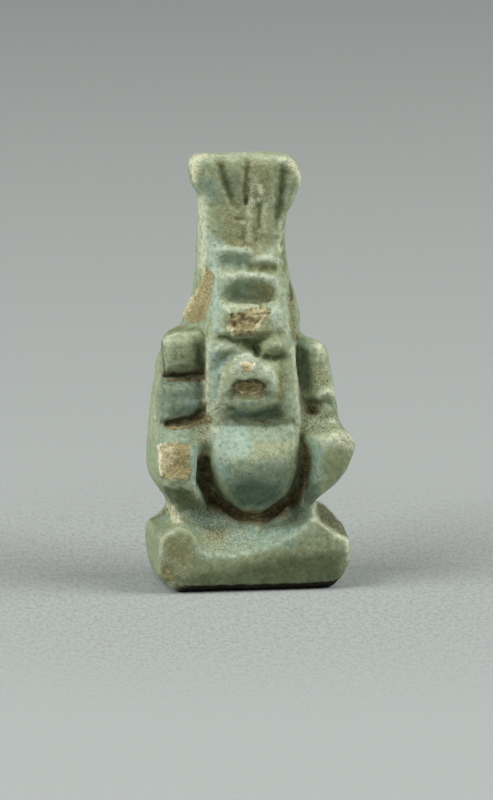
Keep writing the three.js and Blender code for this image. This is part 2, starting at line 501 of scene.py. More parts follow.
    def along(self, stroke: Stroke) -> np.ndarray:
        """Find how strongly a stroke acts on each point.

        Args:
            stroke: The stroke.

        Returns:
            A weight from 0 to 1 for each point.
        """
        weight = np.zeros(len(self.points))
        picture = self.picture + self.wobble
        steps = [math.dist(a, b) for a, b in zip(stroke.path, stroke.path[1:])]
        whole, gone = sum(steps), 0.0
        for (start, end), step in zip(zip(stroke.path, stroke.path[1:]), steps):
            first, second = np.array(start), np.array(end)
            way = (second - first) / step
            reach = np.clip((picture - first) @ way, 0.0, step)
            away = np.linalg.norm(picture - first - reach[:, None] * way, axis=1)
            share = (gone + reach) / whole
            half = (stroke.width[0] * (1 - share) + stroke.width[1] * share) / 2
            weight = np.maximum(weight, np.clip(1.0 - (away / half) ** 2, 0.0, 1.0) ** 2)
            gone += step
        return weight * self.seen

    def inside(self, outline: tuple[Point, ...], edge: float) -> np.ndarray:
        """Find how far each point lies inside an outline.

        Args:
            outline: Picture points around an area.
            edge: Width of its soft edge, in picture pixels.

        Returns:
            A weight from 0 to 1 for each point.
        """
        corners = np.array(outline)
        following = np.roll(corners, -1, axis=0)
        low = corners.min(axis=0) - edge
        high = corners.max(axis=0) + edge
        picture = self.picture + self.wobble
        near = np.nonzero(np.all((picture > low) & (picture < high), axis=1))[0]
        places = picture[near]
        away = np.full(len(places), np.inf)
        crossings = np.zeros(len(places), dtype=bool)
        for first, second in zip(corners, following):
            side = second - first
            reach = np.clip((places - first) @ side / (side @ side), 0.0, 1.0)
            away = np.minimum(away, np.linalg.norm(places - first - reach[:, None] * side, axis=1))
            straddles = (first[1] > places[:, 1]) != (second[1] > places[:, 1])
            if side[1] != 0:
                crossing = first[0] + side[0] * (places[:, 1] - first[1]) / side[1]
                crossings ^= straddles & (places[:, 0] < crossing)
        depth = np.where(crossings, away, -away)
        weight = np.zeros(len(self.points))
        weight[near] = smoothstep(-edge / 2, edge / 2, depth)
        return weight * self.seen

    def lumps(
        self, size: float, seed: float, octaves: int = 3, weight: np.ndarray | None = None
    ) -> np.ndarray:
        """Make even noise over the surface.

        Args:
            size: Size of the largest lumps in millimetres.
            seed: Offset that gives another pattern.
            octaves: Layers of ever finer lumps.
            weight: Weight for each point; where it is 0 no noise is made.

        Returns:
            Values of about -1 to 1, one for each point.
        """
        shift = Vector((seed, -seed, seed * 0.5))
        values = np.zeros(len(self.points))
        wanted = np.arange(len(self.points)) if weight is None else np.nonzero(weight > 0.001)[0]
        values[wanted] = [
            noise.fractal(Vector(point) / size + shift, *self.layers, octaves)
            for point in self.points[wanted].tolist()
        ]
        return values if weight is None else values * weight

    def work(self, strokes: tuple[Stroke, ...]) -> None:
        """Press or raise strokes, one after another.

        Args:
            strokes: The strokes.
        """
        for stroke in strokes:
            weight = self.along(stroke)
            self.paint(stroke.masks, weight)
            if stroke.lift:
                self.move(weight * stroke.lift)

    def form(self, forms: tuple[Form, ...]) -> None:
        """Bring areas to the heights of their sections, one after another.

        Args:
            forms: The areas.
        """
        for form in forms:
            weight = self.inside(form.outline, form.edge)
            touched = np.nonzero(weight > 0.001)[0]
            level = thin_plate(form.knots[:, :2], form.knots[:, 2], self.picture[touched])
            rise = level - self.near[touched]
            amount = rise * weight[touched] * (np.abs(rise) < form.reach)
            self.points[touched] += self.view.rays(self.points[touched]) * amount[:, None]
            self.refresh()

    def pull(self, stroke: Stroke, across: float, down: float) -> None:
        """Shift what lies along a stroke in the picture's plane.

        Args:
            stroke: The stroke.
            across: Picture pixels to the right.
            down: Picture pixels downwards.
        """
        right, up, _ = self.view.axes()
        self.points += self.along(stroke)[:, None] * (right * across - up * down) / self.view.scale
        self.refresh()

    def fit_outline(self, side: int, target: tuple[Point, ...], reach: float = 15.0) -> None:
        """Move one side of the figure sideways until its outline follows the photographed one.

        Args:
            side: -1 for the left outline and 1 for the right one.
            target: Picture points of the outline, from the top down.
            reach: How far the move is felt inwards, in picture pixels.
        """
        heights = np.array([y for _, y in target])
        rows = np.arange(heights[0], heights[-1], self.row)
        slot = np.round((self.picture[:, 1] - rows[0]) / self.row).astype(int)
        ends = np.full(len(rows), -np.inf)
        inner = (slot >= 0) & (slot < len(rows))
        np.maximum.at(ends, slot[inner], side * self.picture[inner, 0])
        shift = side * np.interp(rows, heights, [x for x, _ in target]) - ends
        shift = np.convolve(np.pad(shift, 1, mode="edge"), (0.25, 0.5, 0.25), mode="valid")
        shift = np.clip(shift * smoothstep(0.0, self.lead, rows - rows[0]), -self.furthest, self.furthest)
        away = np.interp(self.picture[:, 1], rows, ends) - side * self.picture[:, 0]
        amount = np.interp(self.picture[:, 1], rows, shift, 0.0) * smoothstep(reach, 0.0, away)
        self.points += self.view.axes()[0] * (side * amount / self.view.scale)[:, None]
        self.refresh()

    def lay(self, patches: tuple[Patch, ...]) -> None:
        """Sink, raise, roughen or paint patches, one after another.

        Args:
            patches: The patches.
        """
        for order, patch in enumerate(patches, 1):
            weight = self.inside(patch.outline, patch.edge)
            self.paint(patch.masks, weight)
            amount = weight * patch.lift
            if patch.rough:
                amount = amount + patch.rough * self.lumps(patch.grain, self.seed_step * order, 3, weight)
            if patch.lift or patch.rough:
                self.move(amount)

    def blur_masks(self, rounds: int) -> None:
        """Soften what has been painted so far.

        Args:
            rounds: Rounds of averaging.
        """
        for mask in Mask:
            self.masks[mask] = self.averaged(self.masks[mask], rounds)

    def feel_relief(self) -> None:
        """Store how hollow and how raised each point lies, compared with the surface around it."""
        for mask, sign in ((Mask.HOLLOW, 1.0), (Mask.RIDGE, -1.0)):
            total = np.zeros(len(self.points))
            for rounds, gain in self.felt:
                around = self.averaged(self.points, rounds)
                rise = np.einsum("ij,ij->i", around - self.points, self.normals) * sign
                total += np.clip(rise * gain, 0.0, 1.0) * self.felt_most
            self.masks[mask] = np.clip(self.averaged(total, 1), 0.0, 1.0)

    def store(self) -> None:
        """Write the masks to the mesh as point attributes."""
        for mask, values in self.masks.items():
            layer = self.mesh.attributes.new(mask.value, "FLOAT", "POINT")
            layer.data.foreach_set("value", np.clip(values, 0.0, 1.0).astype(np.float32))


@dataclass(frozen=True)
class FaienceFinish:
    """Colours, strengths and scales of the glazed quartz paste.

    Colours are linear values, strengths run from 0 to 1, and scales are lumps to the metre.

    Attributes:
        glaze: Main colour of the worn glaze.
        deep: Factor that darkens a colour: painted shade under the dark mask and in hollows, and the darker
            mottles of the glaze.
        olive: Yellower, stained glaze.
        aqua: Blue-green glaze that kept its colour.
        pale: Rubbed edges, the pale core under thin glaze, and painted highlights.
        pitch: Painted shade: near-black earth where the earth and dark masks meet, as under the foot and deep
            in the grooves.
        earth: Dark brown burial earth in the grooves.
        loam: Lighter grains of that earth.
        stain: Dirt in the small pits of the glaze.
        core: Sandy core that the chips show.
        sand: Darker sand in the core.
        grain: Pale sand grains in the core, also the colour of the cream mask, which in a few strokes paints
            highlights.
        roughness: Roughness of the glaze.
        shine: Specular level of the glaze.
        relief: Height of the finest bumps, in metres.
        bumpiness: Strength of those bumps.
        stained: Most that the broad stains take of the olive.
        clouded: Most that the clouds take of the blue-green.
        shut: How much of the deep colour's darkening the full dark mask gives, mostly a painted shade.
        rubbed_and_highlit: How far a full rub, of rubbed wear and painted highlights alike, takes the colour
            to the pale one.
        sunk: How much of that darkening a full hollow gives, a painted shade in concave places.
        sanded: Most that dark and pale sand takes of the colour on gritty glaze.
        stains: Scale of the broad stains.
        clouds: Scale of the blue-green clouds.
        blotches: Scale of the blotches.
        mottles: Scale of the finest mottles.
        dirt: Scale of the dots of dirt.
        grit: Scale of the sand that sticks to the glaze.
        skin: Scale of the glaze's own grain.
        pits: Scale of the pits in the glaze.
        ragged: Scale of the chips' ragged edges.
        crumbs: Scale of the cream patches' uneven edges.
        sands: Scale of the core's sand.
        grains: Scale of the core's pale grains.
        holes: Scale of the core's dark holes.
    """

    glaze: Colour = (0.335, 0.395, 0.235)
    deep: Colour = (0.23, 0.265, 0.19)
    olive: Colour = (0.272, 0.285, 0.13)
    aqua: Colour = (0.27, 0.42, 0.36)
    pale: Colour = (0.62, 0.67, 0.49)
    pitch: Colour = (0.008, 0.007, 0.004)
    earth: Colour = (0.08, 0.068, 0.036)
    loam: Colour = (0.30, 0.235, 0.11)
    stain: Colour = (0.075, 0.07, 0.035)
    core: Colour = (0.61, 0.53, 0.265)
    sand: Colour = (0.29, 0.228, 0.10)
    grain: Colour = (0.88, 0.82, 0.54)
    roughness: float = 0.62
    shine: float = 0.35
    relief: float = 0.00012
    bumpiness: float = 0.9
    stained: float = 0.35
    clouded: float = 0.3
    shut: float = 0.95
    rubbed_and_highlit: float = 0.9
    sunk: float = 0.5
    sanded: float = 0.55
    stains: float = 420.0
    clouds: float = 1300.0
    blotches: float = 3200.0
    mottles: float = 9500.0
    dirt: float = 5600.0
    grit: float = 11500.0
    skin: float = 5200.0
    pits: float = 3300.0
    ragged: float = 4200.0
    crumbs: float = 5200.0
    sands: float = 10500.0
    grains: float = 9000.0
    holes: float = 6200.0


class Nodes:
    """Short ways to build one shader node tree."""

    def __init__(self, tree: Tree) -> None:
        """Take the tree to build in.

        Args:
            tree: The node tree.
        """
        self.tree = tree

    def add(self, kind: str, **settings: object) -> bpy.types.Node:
        """Add a node.

        Args:
            kind: The node's type name.
            **settings: Properties to set on it.

        Returns:
            The node.
        """
        node = self.tree.nodes.new(kind)
        for name, value in settings.items():
            setattr(node, name, value)
        return node

    def join(self, source: Socket, target: Socket) -> None:
        """Link one socket to another.

        Args:
            source: The socket that gives.
            target: The socket that takes.
        """
        self.tree.links.new(source, target)

    def feed(self, socket: Socket, value: object) -> None:
        """Link a socket, or set its value where no socket is given.

        Args:
            socket: The socket that takes.
            value: A value or a socket.
        """
        if isinstance(value, Socket):
            self.join(value, socket)
        else:
            socket.default_value = value

    def mask(self, mask: Mask) -> Socket:
        """Read one of the surface's masks.

        Args:
            mask: The mask.

        Returns:
            The mask's socket.
        """
        return self.add("ShaderNodeAttribute", attribute_name=mask.value).outputs["Fac"]

    def place(self) -> Socket:
        """Read the object's own coordinates.

        Returns:
            The coordinates' socket.
        """
        return self.add("ShaderNodeTexCoord").outputs["Object"]

    def calc(
        self, how: str, first: object, second: object = 0.0, third: float = 0.0, clamp: bool = False
    ) -> Socket:
        """Add a Math node.

        Args:
            how: The operation.
            first: First value or socket.
            second: Second value or socket.
            third: Third value, which only some operations read.
            clamp: Whether to keep the result within 0 and 1.

        Returns:
            The result's socket.
        """
        node = self.add("ShaderNodeMath", operation=how, use_clamp=clamp)
        for socket, value in zip(node.inputs, (first, second, third)):
            self.feed(socket, value)
        return node.outputs[0]

    def times(self, first: object, second: object, clamp: bool = False) -> Socket:
        """Multiply two values.

        Args:
            first: First value or socket.
            second: Second value or socket.
            clamp: Whether to keep the result within 0 and 1.

        Returns:
            The result's socket.
        """
        return self.calc("MULTIPLY", first, second, clamp=clamp)

    def plus(self, first: object, second: object, clamp: bool = False) -> Socket:
        """Add two values.

        Args:
            first: First value or socket.
            second: Second value or socket.
            clamp: Whether to keep the result within 0 and 1.

        Returns:
            The result's socket.
        """
        return self.calc("ADD", first, second, clamp=clamp)

    def mix(self, share: object, first: object, second: object, blend: str = "MIX") -> Socket:
        """Mix two colours.

        Args:
            share: How much of the second colour is taken.
            first: First colour or socket.
            second: Second colour or socket.
            blend: The way of mixing.

        Returns:
            The result's socket.
        """
        node = self.add("ShaderNodeMix", data_type="RGBA", blend_type=blend, clamp_factor=True)
        self.feed(node.inputs["Factor"], share)
        for name, value in (("A", first), ("B", second)):
            socket = next(s for s in node.inputs if s.name == name and s.type == "RGBA")
            self.feed(socket, (*value, 1.0) if isinstance(value, tuple) else value)
        return next(s for s in node.outputs if s.type == "RGBA")

    def ramp(self, value: object, low: float, high: float) -> Socket:
        """Spread values between two limits over 0 to 1.

        Args:
            value: The value's socket.
            low: Value that gives 0.
            high: Value that gives 1.

        Returns:
            The result's socket.
        """
        node = self.add("ShaderNodeMapRange", clamp=True, interpolation_type="SMOOTHSTEP")
        self.feed(node.inputs["Value"], value)
        node.inputs["From Min"].default_value = low
        node.inputs["From Max"].default_value = high
        return node.outputs["Result"]

    def noise(self, place: object, scale: object, detail: float = 3.0, rough: float = 0.55) -> Socket:
        """Add a Noise Texture node.

        Args:
            place: Coordinates.
            scale: Lumps to the metre, as a value or a socket.
            detail: Layers of finer lumps.
            rough: Strength of the finer layers.

        Returns:
            The noise's socket.
        """
        node = self.add("ShaderNodeTexNoise")
        for name, value in (("Vector", place), ("Scale", scale), ("Detail", detail), ("Roughness", rough)):
            self.feed(node.inputs[name], value)
        return node.outputs["Fac"]

    def group(self, tree: Tree, **values: object) -> Socket:
        """Place a node group.

        Args:
            tree: The group.
            **values: Values or sockets for its inputs.

        Returns:
            The socket of its only output.
        """
        node = self.add("ShaderNodeGroup", node_tree=tree)
        for name, value in values.items():
            self.feed(node.inputs[name], value)
        return node.outputs[0]


def new_group(name: str, values: tuple[str, ...], result: str) -> Tree:
    """Start a node group that works on coordinates.

    Args:
        name: The group's name.
        values: Names of its number inputs, beside the coordinates.
        result: Name of its output.

    Returns:
        The node group.
    """
    tree = bpy.data.node_groups.new(name, "ShaderNodeTree")
    tree.interface.new_socket("Place", in_out="INPUT", socket_type="NodeSocketVector")
    for value in values:
        tree.interface.new_socket(value, in_out="INPUT", socket_type="NodeSocketFloat")
    tree.interface.new_socket(result, in_out="OUTPUT", socket_type="NodeSocketFloat")
    return tree


def specks_group() -> Tree:
    """Build the group that scatters small round specks of varied size.

    Returns:
        The node group, with a mask of the specks as its output.
    """
    tree = new_group("scattered specks", ("Scale", "Share"), "Specks")
    nodes = Nodes(tree)
    given = nodes.add("NodeGroupInput").outputs
    cells = nodes.add("ShaderNodeTexVoronoi", feature="F1")
    nodes.join(given["Place"], cells.inputs["Vector"])
    nodes.join(given["Scale"], cells.inputs["Scale"])
    chance = nodes.add("ShaderNodeSeparateColor")
    nodes.join(cells.outputs["Color"], chance.inputs[0])
    chosen = nodes.calc("LESS_THAN", chance.outputs[0], given["Share"])
    size = nodes.calc("MULTIPLY_ADD", chance.outputs[1], 0.25, 0.18)
    inside = nodes.calc("SUBTRACT", size, cells.outputs["Distance"])
    nodes.join(nodes.times(chosen, nodes.ramp(inside, 0.0, 0.12)), nodes.add("NodeGroupOutput").inputs[0])
    return tree


def grain_group() -> Tree:
    """Build the group that makes a fine uneven grain of two sizes.

    Returns:
        The node group, with a value from 0 to 1 as its output.
    """
    tree = new_group("fine grain", ("Scale",), "Grain")
    nodes = Nodes(tree)
    given = nodes.add("NodeGroupInput").outputs
    coarse = nodes.noise(given["Place"], given["Scale"], rough=0.5)
    fine = nodes.noise(given["Place"], nodes.times(given["Scale"], 3.1), rough=0.5)
    both = nodes.plus(nodes.times(coarse, 0.6), nodes.times(fine, 0.4))
    nodes.join(both, nodes.add("NodeGroupOutput").inputs[0])
    return tree


class FaienceMaterial:
    """The worn glaze with its earth, tints, specks and chips, and with painted shade and painted highlights.
    """

    def __init__(self, finish: FaienceFinish, specks: Tree, grain: Tree) -> None:
        """Start the material.

        Args:
            finish: Colours and scales.
            specks: The group that scatters specks.
            grain: The group that makes fine grain.
        """
        self.finish = finish
        self.specks = specks
        self.grain = grain
        self.material = bpy.data.materials.new("worn faience glaze")
        self.material.use_nodes = True
        self.nodes = Nodes(self.material.node_tree)
        self.place = self.nodes.place()

    def sprinkled(self, scale: float, share: float) -> Socket:
        """Scatter specks.

        Args:
            scale: Specks to the metre.
            share: Share of them that shows.

        Returns:
            The specks' mask.
        """
        return self.nodes.group(self.specks, Place=self.place, Scale=scale, Share=share)

    def build(self) -> bpy.types.Material:
        """Build the material.

        Returns:
            The material.
        """
        nodes, place, finish = self.nodes, self.place, self.finish
        shader = self.material.node_tree.nodes["Principled BSDF"]
        colour = self.glaze_colour()
        core, core_height = self.core_colour()
        ragged = nodes.plus(nodes.mask(Mask.CHIP), nodes.times(nodes.noise(place, finish.ragged), 0.5))
        broken = nodes.ramp(ragged, 0.66, 0.86)
        crumbly = nodes.calc("MULTIPLY_ADD", nodes.noise(place, finish.crumbs), 1.1, -0.55)
        cream = nodes.ramp(nodes.plus(nodes.mask(Mask.CREAM), crumbly), 0.25, 0.75)
        colour = nodes.mix(nodes.times(cream, 0.9), nodes.mix(broken, colour, core), finish.grain)
        nodes.join(colour, shader.inputs["Base Color"])
        fine = nodes.group(self.grain, Place=place, Scale=finish.skin)
        rough = nodes.calc("MULTIPLY_ADD", fine, 0.22, finish.roughness - 0.11)
        worn = nodes.plus(nodes.times(broken, 0.3), nodes.times(nodes.mask(Mask.EARTH_AND_SHADE), 0.5))
        nodes.join(nodes.plus(rough, worn, clamp=True), shader.inputs["Roughness"])
        height = nodes.add("ShaderNodeMix", data_type="FLOAT")
        skin = nodes.calc("SUBTRACT", nodes.times(fine, 0.5), self.sprinkled(finish.pits, 0.12))
        for number, value in ((0, broken), (2, skin), (3, core_height)):
            nodes.join(value, height.inputs[number])
        bump = nodes.add("ShaderNodeBump")
        bump.inputs["Strength"].default_value = finish.bumpiness
        bump.inputs["Distance"].default_value = finish.relief
        nodes.join(height.outputs[0], bump.inputs["Height"])
        nodes.join(bump.outputs["Normal"], shader.inputs["Normal"])
        shader.inputs["Specular IOR Level"].default_value = finish.shine
        return self.material

    def glaze_colour(self) -> Socket:
        """Mix the glaze's colour from its tints, wear and earth, and from painted shade and painted
        highlights.

        Returns:
            The colour's socket.
        """
        nodes, place, finish = self.nodes, self.place, self.finish
        clouds = nodes.noise(place, finish.clouds, 2.0)
        blotch = nodes.noise(place, finish.blotches, 2.0, 0.5)
        fine = nodes.noise(place, finish.mottles, 3.0, 0.6)
        shade = nodes.plus(blotch, fine)
        grit, dark = nodes.mask(Mask.GRIT), nodes.mask(Mask.DARK)
        clear = nodes.calc("SUBTRACT", 1.0, dark, clamp=True)

        stained = nodes.times(nodes.ramp(nodes.noise(place, finish.stains, 2.0), 0.4, 0.62), finish.stained)
        colour = nodes.mix(stained, finish.glaze, finish.olive)
        clouded = nodes.times(nodes.ramp(clouds, 0.5, 0.66), finish.clouded)
        colour = nodes.mix(clouded, colour, finish.aqua)
        patchy = nodes.plus(nodes.times(clouds, 1.08), nodes.times(blotch, 0.81))
        for mask, tint in ((Mask.OLIVE, finish.olive), (Mask.AQUA, finish.aqua)):
            colour = nodes.mix(nodes.times(nodes.mask(mask), patchy, clamp=True), colour, tint)

        # Painted shade: the dark mask darkens the colour.
        colour = nodes.mix(nodes.times(dark, finish.shut), colour, finish.deep, "MULTIPLY")
        mottled = nodes.ramp(nodes.plus(blotch, nodes.times(fine, 0.6)), 0.66, 0.92)
        # Rubbed wear and painted highlights: the ridge and pale masks lighten the colour.
        ridge = nodes.plus(nodes.times(nodes.mask(Mask.RIDGE), 0.35), nodes.mask(Mask.PALE_AND_HIGHLIGHT))
        rubbed_and_highlit = nodes.times(ridge, nodes.calc("MULTIPLY_ADD", mottled, 0.5, 0.5))
        colour = nodes.mix(nodes.times(rubbed_and_highlit, finish.rubbed_and_highlit), colour, finish.pale)
        # Painted shade: hollows of the surface darken the colour.
        sunk = nodes.times(nodes.mask(Mask.HOLLOW), finish.sunk)
        colour = nodes.mix(sunk, colour, finish.deep, "MULTIPLY")
        light = nodes.times(nodes.ramp(shade, 1.0, 1.32), nodes.calc("MULTIPLY_ADD", clear, 0.3, 0.06))
        colour = nodes.mix(light, colour, finish.pale)
        colour = nodes.mix(nodes.times(nodes.ramp(shade, 1.0, 0.66), 0.45), colour, finish.deep, "MULTIPLY")

        sandy = nodes.group(self.grain, Place=place, Scale=finish.grit)
        strong = nodes.times(grit, finish.sanded)
        for low, high, tint in ((0.49, 0.4, finish.stain), (0.51, 0.6, finish.grain)):
            colour = nodes.mix(nodes.times(nodes.ramp(sandy, low, high), strong), colour, tint)
        dirty = nodes.times(self.sprinkled(finish.dirt, 0.4), nodes.calc("MULTIPLY_ADD", grit, 0.2, 0.07))
        colour = nodes.mix(dirty, colour, finish.stain)

        # Painted shade: where earth meets the dark mask, the soil turns near-black.
        soil_and_shade = nodes.mix(dark, finish.earth, finish.pitch)
        soil_and_shade = nodes.mix(nodes.times(nodes.ramp(shade, 0.8, 1.25), clear), soil_and_shade, finish.loam)
        crumbs = nodes.times(nodes.times(nodes.ramp(sandy, 0.5, 0.58), grit), clear)
        soil_and_shade = nodes.mix(nodes.times(crumbs, 0.6), soil_and_shade, finish.core)
        earthy = nodes.times(nodes.mask(Mask.EARTH_AND_SHADE), nodes.plus(blotch, 0.6))
        return nodes.mix(nodes.ramp(earthy, 0.12, 0.95), colour, soil_and_shade)

    def core_colour(self) -> tuple[Socket, Socket]:
        """Mix the sandy core's colour and its height.

        Returns:
            The colour's socket and the height's socket.
        """
        nodes, finish = self.nodes, self.finish
        sand = nodes.group(self.grain, Place=self.place, Scale=finish.sands)
        # Painted shade and light on the core: its sand is darker in hollows and paler on ridges.
        felt = nodes.calc("SUBTRACT", nodes.mask(Mask.RIDGE), nodes.mask(Mask.HOLLOW))
        level = nodes.plus(sand, nodes.times(felt, 0.09))
        colour = nodes.mix(nodes.ramp(level, 0.4, 0.55), finish.sand, finish.core)
        light = self.sprinkled(finish.grains, 0.4)
        shown = nodes.times(light, nodes.ramp(level, 0.42, 0.54))
        colour = nodes.mix(nodes.times(shown, 0.85), colour, finish.grain)
        colour = nodes.mix(nodes.times(self.sprinkled(finish.holes, 0.2), 0.5), colour, finish.stain)
        # Painted shade: the dark mask darkens the core too.
        colour = nodes.mix(nodes.times(nodes.mask(Mask.DARK), 0.6), colour, finish.sand)
        return colour, nodes.plus(nodes.times(level, 1.8), nodes.times(light, 0.6))


# The tables below follow the photograph. Places and widths are in its pixels, and heights towards the
# viewer, lifts and lumps are in millimetres.
# Dark strengths in these tables mostly paint shade, and many pale strengths paint highlights on lit faces and
# edges.
LEFT_OUTLINE = spots(
    "188,162 187.5,166 188,175 189,180 190.5,185 194.5,190 197,195 197,210 196,240 195.5,262 195,270 193,280 "
    "192,290 188.5,300 186,305 182.5,310 182.5,320 178,325 169,330 163,335 160.5,340 160.5,350 156,354 "
    "155,360 153,380 151,395 149.5,410 148,425 146.5,440 146.5,465 148,471 152,479 156,485 160.5,491 "
    "165.5,497 166.5,502 164,507 160,511 150,516 145.5,521 144.5,530 144.5,542 146,551 148.5,560 151.5,569 "
    "154.5,575 160.5,580 169,583.5"
)
RIGHT_OUTLINE = spots(
    "296,162 299,166 301.5,173 302.5,180 301,185 298.5,192 295.5,200 289,210 286,219 285,235 286,252 288,264 "
    "290,272 291,282 294.5,290 297.5,300 300.5,310 301,320 299,326 299.5,331 303,334 309,336.5 318,339.5 "
    "325,344 328.5,351 329.5,360 331.5,371 333.5,383 335.5,393 338,408 340,422 344,428 350,433 354.5,440 "
    "355.5,447 352.5,458 349.5,466 344.5,474 338,482 330.5,489.5 323.5,495.5 320,500 326,505 332.5,511 "
    "338.5,517 343,523 346.5,529 349,535 351,543 351.5,552 350.5,559 349,565 347,570 344.5,575 340,580 "
    "333,584"
)
CROWN = relief(
    "197,164 296,164 298,180 292,196 287,212 284,242 200,242 201,215 204,198 199,182",
    {
        166: "196,4.3 206,4.37 224,4.22 242,4.1 260,3.95 278,3.78 288,3.64 296,3.52",
        176: "196,4.2 206,4.32 224,4.18 242,4.04 260,3.89 278,3.68 288,3.52 297,3.42",
        188: "200,3.98 208,4.12 224,4.03 242,3.87 260,3.72 276,3.54 286,3.34 294,3.12",
        200: "204,3.62 210,3.88 224,3.9 242,3.75 260,3.59 274,3.44 284,3.16 289,3",
        214: "200,2.79 206,3.44 212,3.68 224,3.8 242,3.68 260,3.51 272,3.38 279,3.16 285,2.86",
        228: "200,2.68 206,3.3 212,3.48 222,3.68 242,3.61 260,3.44 272,3.3 279,3.06 284,2.56",
        240: "200,2.54 206,3.16 212,3.38 222,3.6 242,3.54 260,3.38 271,3.22 279,2.9 284,2.46",
    },
)
LEFT_STRIP = relief(
    "198,205 216,205 218,240 218,280 214,300 213,330 200,330 199,300 198,260",
    {
        208: "199,2.6 204,3.38 208,3.64 212,3.76 217,3.83",
        222: "199,2.6 204,3.24 208,3.46 212,3.57 217,3.68",
        240: "199,2.44 204,3.05 208,3.27 212,3.4 217,3.56",
        260: "199,2.22 204,2.86 208,3.12 212,3.3 217,3.44",
        280: "199,2.16 204,2.76 208,3.02 212,3.28 217,3.7",
        300: "199,2.36 204,2.74 208,3 212,3.32 216,3.8",
        320: "199,2.42 204,2.82 208,3.12 212,3.55 216,3.98",
        330: "199,2.76 204,2.98 208,3.3 212,3.76",
    },
)
BAND = relief(
    "203,236 283,236 286,262 290,300 293,333 203,333 203,290",
    {
        236: "206,3.2 212,3.42 218,3.6 226,3.66 240,3.58 256,3.46 270,3.26 280,2.8",
        242: "206,3.14 212,3.4 218,3.56 226,3.6 240,3.52 256,3.4 270,3.2 280,2.75",
        250: "206,3.08 211,3.35 217,3.64 226,3.8 240,3.77 250,3.64 262,3.42 272,3.28 281,2.72",
        254: "206,3.06 211,3.33 217,3.6 226,3.74 240,3.72 250,3.63 258,3.54 268,3.42 276,3.26 282,2.69",
        258: "206,3.04 211,3.3 217,3.52 226,3.56 240,3.54 250,3.54 258,3.62 268,3.55 276,3.28 282,2.66",
        262: "206,3 211,3.25 217,3.46 226,3.4 240,3.36 252,3.5 262,3.66 270,3.58 277,3.3 282,2.6",
        267: "206,2.96 211,3.2 216,3.5 224,3.4 240,3.3 252,3.3 264,3.34 273,3.24 279,3.1 284,2.45",
        270: "206,2.94 211,3.2 216,3.58 224,3.54 240,3.42 252,3.34 264,3.28 274,3.2 280,3.12 284,2.42",
        273: "206,2.93 211,3.2 216,3.64 224,3.78 234,3.74 244,3.7 254,3.6 266,3.46 275,3.38 280,3.16 285,2.4",
        276: "206,2.9 211,3.2 216,3.68 224,3.9 234,3.86 244,3.78 254,3.74 266,3.64 274,3.52 280,3.2 285,2.4",
        281: (
            "206,2.88 211,3.2 216,3.7 222,3.92 230,3.88 238,3.68 246,3.6 256,3.58 266,3.56 274,3.54 280,3.26 "
            "286,2.35"
        ),
        287: (
            "206,2.86 211,3.2 216,3.72 221,3.88 228,3.7 236,3.4 246,3.3 258,3.26 268,3.32 275,3.44 281,3.26 "
            "287,2.3"
        ),
        293: (
            "206,2.85 211,3.2 216,3.76 221,3.74 228,3.36 240,3.12 256,3.04 268,3.06 276,3.24 281,3.24 "
            "287,2.3"
        ),
        299: "206,2.85 211,3.22 216,3.8 222,3.72 229,3.26 240,3.06 256,2.98 268,3 276,3.24 281,3.24 288,2.25",
        303: (
            "206,2.86 211,3.25 216,3.85 223,3.9 231,3.56 242,3.34 256,3.26 268,3.26 276,3.42 282,3.26 "
            "289,2.2"
        ),
        306.5: "206,2.88 211,3.3 216,3.9 222,4.06 230,4.14 242,4.1 256,4 268,3.86 276,3.66 282,3.32 289,2.25",
        310: (
            "206,2.9 211,3.38 216,3.96 223,4.22 232,4.36 245,4.36 258,4.26 268,4.1 277,3.87 283,3.45 290,2.3"
        ),
        320: (
            "206,2.98 211,3.5 216,4.02 222,4.3 232,4.45 245,4.42 258,4.32 268,4.18 277,3.97 284,3.52 "
            "292,2.35"
        ),
        329: (
            "206,3.18 211,3.68 216,4.04 222,4.26 232,4.4 245,4.38 258,4.28 268,4.12 277,3.92 285,3.54 "
            "293,2.55"
        ),
    },
)
